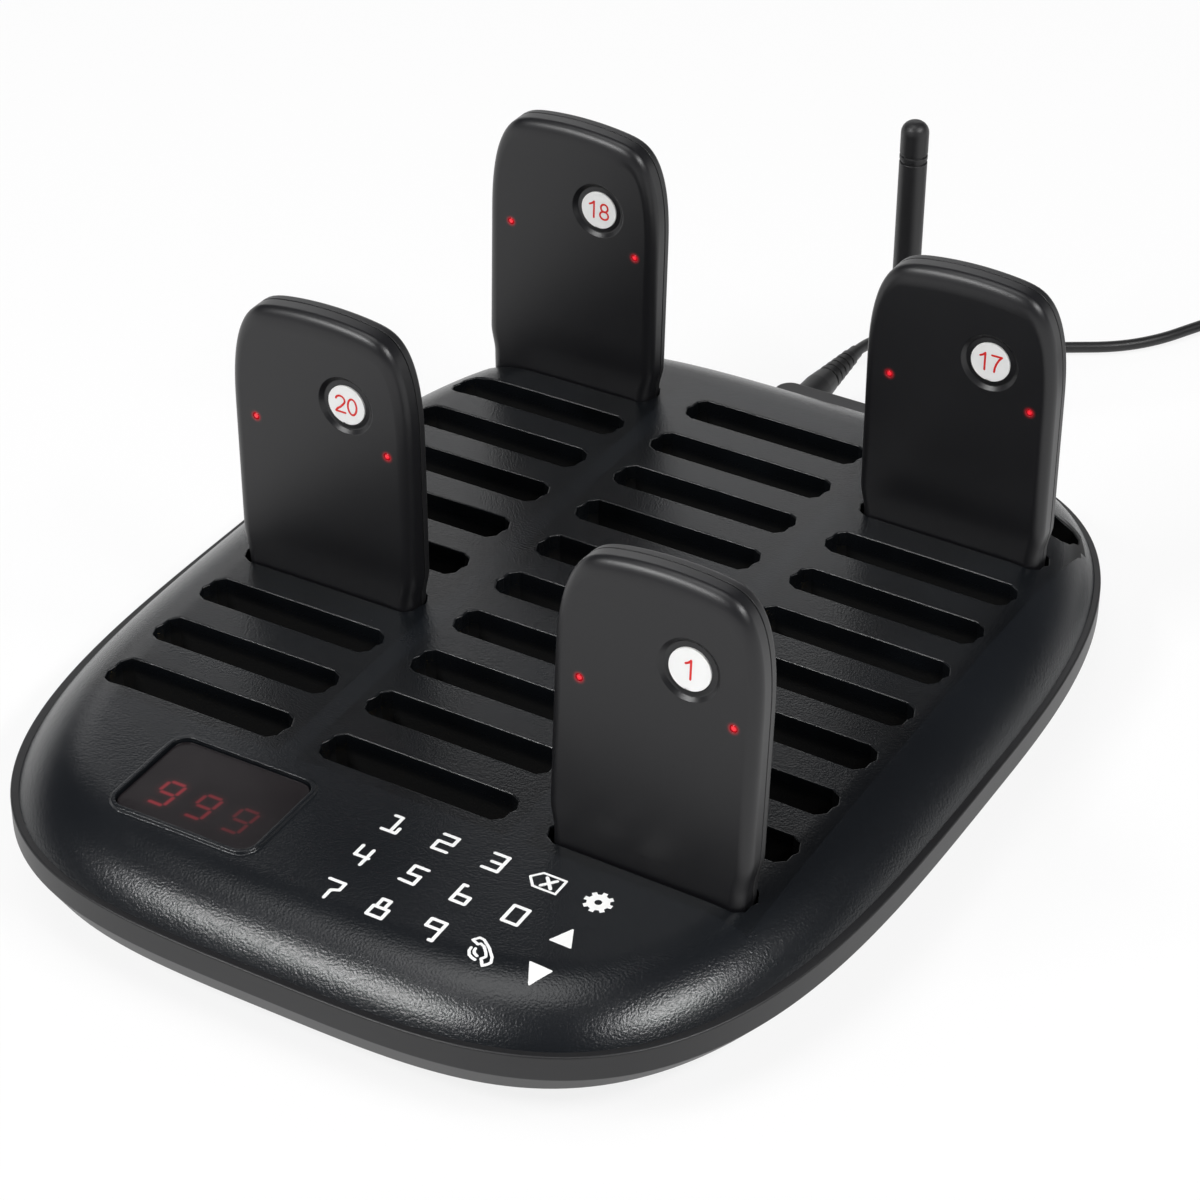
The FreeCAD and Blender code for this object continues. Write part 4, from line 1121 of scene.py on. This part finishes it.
def rear_shell():
    """The rear shell, with the tongue that stands in the front shell."""
    skin = Skin()
    line = rounded_line([(-1.7, 0.4), (-1.7, -SEAM[1], 0.05), (0.0, -SEAM[1], 0.18),
                         (0.0, -PAGER_BACK_Y, 1.6), (-4.0, -PAGER_BACK_Y)], 6)
    skin.sweep(PAGER_PATH, line, up=FRONT, ends="last")
    return tapered(skin)


def number_disc():
    """The white disc, with the small notch at the bottom of its edge."""
    skin = Skin()
    angles = np.linspace(-math.pi / 2, 1.5 * math.pi, 97)[:-1]
    ring = np.column_stack((np.cos(angles), np.sin(angles))) * DISC_RADIUS
    notch = np.array((-0.3, -DISC_RADIUS))
    away = ring - notch
    bitten = np.linalg.norm(away, axis=1) < DISC_NOTCH
    ring[bitten] = notch + unit(away[bitten] + (0.0, 1e-6)) * DISC_NOTCH
    ring[bitten] = [p if np.linalg.norm(p) < DISC_RADIUS else unit(p) * DISC_RADIUS for p in ring[bitten]]
    path = grown((ring, loop_normals(ring)), RIGHT, UP, (DISC_AT[0], PAGER_FRONT, DISC_AT[1]))
    line = rounded_line([(-0.3, -0.45), (0.0, -0.45, 0.12), (0.0, -1.08)], 3)
    skin.sweep(path, line, up=FRONT, ends="first")
    return skin


def lenses():
    """The two domed lenses over the lamps."""
    skin = Skin()
    line = rounded_line([(0.1, 0.0), (0.98, -0.1, 0.5), (0.98, -1.6)], 4)
    for x, z in PAGER_LAMPS:
        skin.sweep(face_circle(x, z), line, up=FRONT, ends="first")
    return skin


def contacts():
    """The two charging contacts under the foot."""
    skin = Skin()
    line = rounded_line([(-0.6, 0.12), (0.0, 0.12, 0.25), (0.0, -1.4)], 3)
    for x in (-CONTACT_X, CONTACT_X):
        middle = np.array((x, CONTACT_Y))
        corners = oblong(middle - CONTACT_HALF, middle + CONTACT_HALF)
        path = grown(rounded_loop(corners, 0.6, 3), centre=(0, 0, PAGER_FOOT))
        skin.sweep(path, line, up=DOWN, ends="first")
    return skin


DISC_PEN, DISC_PRINT_SINK, DIGIT_SCALE, DIGIT_ADVANCE = 0.6, 0.43, 1.22, 3.75
DISC_DIGITS = {
    "0": [arc((0, 0), (1.12, 1.95), 0, 360, 28)],
    "1": [[(-0.95, 1.2), (-0.25, 1.55), (0.25, 2.1), (0.25, -2.1)]],
    "2": [arc((0, 0.95), (1.15, 1.05), 165, -38, 14)
          + [(0.0, -0.75), (-0.8, -1.35), (-1.2, -1.95), (1.25, -1.95)]],
    "7": [[(-1.2, 1.9), (1.2, 1.9), (0.55, 1.1), (0.0, 0.0), (-0.35, -1.1), (-0.45, -2.1)]],
    "8": [arc((0, 1.0), (0.95, 0.98), 0, 360, 24), arc((0, -0.98), (1.14, 1.05), 0, 360, 26)],
}


def disc_number(number):
    """A pager's number, printed in red on its disc."""
    skin = Skin()
    for place, digit in enumerate(number):
        offset = (place - (len(number) - 1) / 2) * DIGIT_ADVANCE
        lines = [[(x * DIGIT_SCALE + offset, z * DIGIT_SCALE) for x, z in line]
                 for line in DISC_DIGITS[digit]]
        flat, triangles = strokes(lines, DISC_PEN)
        skin.cover(face_points(flat + DISC_AT) + BACK * DISC_PRINT_SINK, triangles, FRONT)
    return skin


def seat_of(spec):
    """Where a pager stands: its lean and roll, and the place of its origin, raised as the tilt needs."""
    lean, roll = math.radians(spec["lean"]), math.radians(spec["roll"])
    turn = Matrix.Rotation(-lean, 3, "X") @ Matrix.Rotation(roll, 3, "Y")
    rise = BEARS_AT_X * math.sin(abs(roll)) + BEARS_AT_Y * math.sin(abs(lean))
    x = spec["column"] * COLUMNS["right"] + spec["shift"][0]
    y = FIRST_ROW + (spec["row"] - 1) * ROW_PITCH + spec["shift"][1]
    return np.array(turn), np.array((x, y, DECK + rise))


def seated(skin, turn, origin):
    """A copy of a pager's piece, in its slot."""
    placed = Skin()
    placed.points = [turn @ point + origin for point in skin.points]
    placed.normals = [turn @ normal for normal in skin.normals]
    placed.faces = skin.faces
    return placed


def pagers():
    """The four pagers: the same shapes, each in its slot with its own number and lit lamps."""
    shapes = {"front_shell": front_shell(), "rear_shell": rear_shell(), "number_disc": number_disc(),
              "indicator_lenses": lenses(), "charge_contacts": contacts()}
    for name, spec in PAGERS.items():
        turn, origin = seat_of(spec)
        lamps = [turn @ (x, PAGER_FRONT, z) + origin for x, z in PAGER_LAMPS]
        finishes = {"front_shell": pager_face(name + "_face", lamps), "rear_shell": PAGER_BACK,
                    "number_disc": DISC_WHITE, "indicator_lenses": lit_lens(name + "_lamps", lamps),
                    "charge_contacts": GOLD}
        for part, shape in shapes.items():
            show("%s_%s_skin" % (name, part), seated(shape, turn, origin), finishes[part], name,
                 ["%s_%s" % (name, part)])
        number = seated(disc_number(spec["number"]), turn, origin)
        show(name + "_number_print", number, RED_PRINT, name)


pagers()

# ------------------------------------------------------------ antenna, plug, lead and adapter


def antenna_coupler():
    """The grooved nut that the antenna turns in."""
    skin = Skin()
    path = circle((ANTENNA_X, PORT_WALL_Y, PORT_Z), RIGHT, UP)
    profile = [(2.45, 8.9), (4.6, 8.9, 0.5), (4.6, 6.3, 0.1), (4.3, 6.1, 0.1), (4.3, 5.7, 0.1),
               (4.6, 5.5, 0.1), (4.6, 0.0, 0.3), (3.0, 0.0)]
    skin.sweep(path, rounded_line(profile, 3), up=BACK, ends="first")
    show("antenna_coupler_skin", skin, ANTENNA, "base", ["antenna_coupler"])


def antenna_rod():
    """The rod, with the flat tongue of its hinge."""
    skin = Skin()
    profile = [(1.0, ROD_TOP), (ROD_RADIUS, ROD_TOP, 0.25), (ROD_RADIUS, ROD_FOOT, 0.4), (1.0, ROD_FOOT)]
    skin.sweep(circle((ANTENNA_X, ANTENNA_Y, 0)), rounded_line(profile, 4), ends="first last")
    tongue = oblong((ANTENNA_Y - 3.8, PORT_Z - 3.8), (ANTENNA_Y + 3.8, PORT_Z + 5.0))
    path = grown(rounded_loop(tongue, 3.7, 10), BACK, UP, (ANTENNA_X, 0, 0))
    plate = rounded_line([(-1.0, 1.9), (0.0, 1.9, 0.3), (0.0, -1.9, 0.3), (-1.0, -1.9)], 3)
    skin.sweep(path, plate, up=RIGHT, ends="first last")
    show("antenna_rod_skin", skin, ANTENNA, "antenna_rod", ["antenna_whip"])


def antenna_cap():
    """The round cap on the rod, over its two grooves."""
    skin = Skin()
    profile = [(0.2, CAP_TOP), (ROD_RADIUS, CAP_TOP, 3.6), (ROD_RADIUS, 101.0, 0.15), (3.8, 100.8, 0.1),
               (3.8, 100.3, 0.1), (ROD_RADIUS, 100.1, 0.1), (ROD_RADIUS, 99.0, 0.1), (3.75, 98.8, 0.1),
               (3.75, ROD_TOP)]
    skin.sweep(circle((ANTENNA_X, ANTENNA_Y, 0)), rounded_line(profile, 6), ends="first")
    show("antenna_cap_skin", skin, ANTENNA, "antenna_rod", ["antenna_cap"])


def plug():
    """The plug's plain grip and the five ribs of its strain relief."""
    skin = Skin()
    path = circle((JACK_X, PORT_WALL_Y, PORT_Z), RIGHT, UP)
    profile = [(1.9, 35.5), (2.2, 35.4, 0.1), (2.4, 31.2, 0.1)]
    for rib in range(4, -1, -1):
        foot, radius = 15.0 + 3.2 * rib, 3.9 - 0.28 * rib
        profile += [(radius, foot + 3.1, 0.3), (radius, foot + 0.8, 0.3), (radius - 0.75, foot + 0.65, 0.12),
                    (radius - 0.75, foot + 0.1, 0.12)]
    profile += [(4.1, 15.0, 0.4), (4.7, 9.0, 4.0), (4.7, 0.5, 0.4), (4.2, 0.0, 0.2), (2.8, 0.0)]
    skin.sweep(path, rounded_line(profile, 3), up=BACK, ends="first")
    return show("plug_skin", skin, LEAD, "base", ["dc_plug"])


def coil_points(per_turn=16):
    """The lead's put-away turns: inwards in a flat spiral, a step up, and out again on top."""
    points = []
    inside_radius = COIL_OUTSIDE - COIL_PITCH * LOW_TURNS
    for step in range(1, int(COIL_TURNS * per_turn) + 1):
        turn = step / per_turn
        if turn <= LOW_TURNS:
            radius, height = COIL_OUTSIDE - COIL_PITCH * turn, COIL_LOW
        else:
            radius = inside_radius + COIL_PITCH * max(0.0, turn - LOW_TURNS - 0.5)
            height = COIL_LOW + COIL_RISE * min(1.0, (turn - LOW_TURNS) / 0.4)
        angle = math.pi - 2 * math.pi * turn
        points.append((COIL_CENTRE[0] + radius * COIL_SPREAD * math.cos(angle),
                       COIL_CENTRE[1] + radius * COIL_SPREAD * math.sin(angle), height))
    return points


def lead():
    """The adapter's lead, one smooth line from the plug through its coil to the adapter."""
    start = (COIL_CENTRE[0] - 25.6, COIL_CENTRE[1], 2.1)
    route = LEAD_ROUTE + [start] + coil_points() + [COIL_EXIT] + TAIL_ROUTE
    data = bpy.data.curves.new("lead", "CURVE")
    data.dimensions = "3D"
    spline = data.splines.new("NURBS")
    spline.points.add(len(route) - 1)
    for point, spot in zip(spline.points, route):
        point.co = (*(c * METRE for c in spot), 1.0)
    spline.order_u = 3
    spline.use_endpoint_u = True
    spline.resolution_u = 6
    data.bevel_depth = LEAD_DIAMETER / 2 * METRE
    data.bevel_resolution = 5
    data.use_fill_caps = True
    data.materials.append(LEAD)
    obj = add("lead", data)
    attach(obj, "base")
    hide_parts("dc_cable", "dc_cable_tail", "cable_coil")


def adapter():
    """The wall adapter: a rounded block with a seam, and its ribbed strain relief."""
    skin = Skin()
    path = grown(rounded_loop(oblong(ADAPTER_LOW, ADAPTER_HIGH), 5.0, 8))
    profile = [(-4.0, ADAPTER_HEIGHT), (0.0, ADAPTER_HEIGHT, 2.0), (0.0, 15.4, 0.15),
               (-0.5, 15.2, 0.1), (-0.5, 14.8, 0.1), (0.0, 14.6, 0.15), (0.0, 0.0, 1.2), (-4.0, 0.0)]
    skin.sweep(path, rounded_line(profile, 5), ends="first last")
    relief = [(1.9, 8.0), (2.6, 8.0, 0.3)]
    for rib in range(3):
        radius, top = 2.9 + 0.4 * rib, 6.0 - 2 * rib
        relief += [(radius, top, 0.15), (radius - 0.5, top - 0.2, 0.1), (radius - 0.5, top - 0.7, 0.1)]
    relief += [(4.2, 0.5, 0.2), (4.2, -1.0)]
    skin.sweep(circle(ADAPTER_EXIT, BACK, UP, 40), rounded_line(relief, 2), up=-RIGHT, ends="first")
    return show("adapter_skin", skin, DARK_PARTS, "base", ["power_adapter"])


antenna_coupler()
antenna_rod()
antenna_cap()
plug_piece, adapter_piece = plug(), adapter()
lead()

# ------------------------------------------------------------ carried-over CAD pieces

CARRIED = [
    (GREEN_BOARD, ["display_module", "keypad_board", "main_board", "charging_board", "rf_module"]),
    (GREEN_BOARD, [pager + "_circuit_board" for pager in PAGERS]),
    (BATTERY, [pager + "_battery" for pager in PAGERS]),
    (STEEL, ["housing_screws", "antenna_hinge_pin", "plug_barrel", "adapter_prongs"]),
    (GOLD, ["charge_pins", "antenna_jack"]),
    (DARK_PARTS, ["buzzer", "dc_jack"]),
    (HOUSING_CAD, ["antenna_elbow"]),
]


def clad(node, material):
    """Give a carried-over CAD node its finish."""
    slots = frame["nodes"][node].material_slots
    for slot in slots:
        slot.link = "OBJECT"
        slot.material = material
    if not slots:
        frame["nodes"][node].data.materials.append(material)


for material, nodes in CARRIED:
    for node in nodes:
        clad(node, material)

# ------------------------------------------------------------ floor, world and lamps


FLOOR_REACH, FLOOR_DEPTH, FLOOR_GLOW = 12.0, 0.0003, 0.85


def floor():
    """A white floor that keeps the object's shadow."""
    finish = Finish("floor")
    seen = finish.node("ShaderNodeLightPath", output="Is Camera Ray")
    for ray in ("Is Glossy Ray", "Is Transmission Ray"):
        seen = seen + finish.node("ShaderNodeLightPath", output=ray)
    grain = finish.noise(finish.place(), 60.0)
    matt = finish.node("ShaderNodeBsdfDiffuse", None,
                       {"Color": finish.blend(grain, (0.94, 0.94, 0.94), (0.95, 0.95, 0.95))})
    lit = finish.node("ShaderNodeEmission", None, {"Color": (1.0, 1.0, 1.0, 1.0), "Strength": 1.0})
    both = finish.node("ShaderNodeMixShader", None, {0: seen.at_most(1.0) * FLOOR_GLOW, 1: matt, 2: lit})
    finish.node("ShaderNodeOutputMaterial", None, {"Surface": both})
    mesh = bpy.data.meshes.new("floor")
    corners = oblong((-FLOOR_REACH, -FLOOR_REACH), (FLOOR_REACH, FLOOR_REACH))
    mesh.from_pydata([(x, y, -FLOOR_DEPTH) for x, y in corners], [], [(0, 1, 2, 3)])
    mesh.materials.append(finish.owner)
    add("floor", mesh)


def world():
    """A soft studio: white near the horizon, darker overhead."""
    sky = Finish("studio", "worlds")
    way = sky.node("ShaderNodeTexCoord", output="Generated")
    colour = sky.blend(sky.part(way, 2).fade(0.08, 0.25), (0.045, 0.045, 0.05), (1.0, 1.0, 1.0))
    light = sky.node("ShaderNodeBackground", None, {"Color": colour, "Strength": 1.1})
    sky.node("ShaderNodeOutputWorld", None, {"Surface": light})
    bpy.context.scene.world = sky.owner


def softbox(name, azimuth, elevation, distance, size, power):
    """A soft lamp aimed at the object, its angles in degrees."""
    way = way_to(math.radians(azimuth), math.radians(elevation))
    data = bpy.data.lights.new(name, "AREA")
    data.shape = "RECTANGLE"
    data.size, data.size_y = size
    data.energy = power
    lamp = add(name, data)
    lamp.rotation_mode = "QUATERNION"
    lamp.location = way * distance
    lamp.rotation_quaternion = way.to_track_quat("Z", "Y")


floor()
world()
softbox("left key", -29, 44, 2.2, (1.0, 0.24), 24)
softbox("right key", 84, 47, 2.2, (1.2, 0.24), 27)
softbox("rear fill", -147, 27, 2.4, (2.2, 0.76), 6.8)
softbox("overhead", -60, 79, 2.4, (1.2, 1.2), 13)

bpy.context.scene.view_settings.view_transform = "Standard"
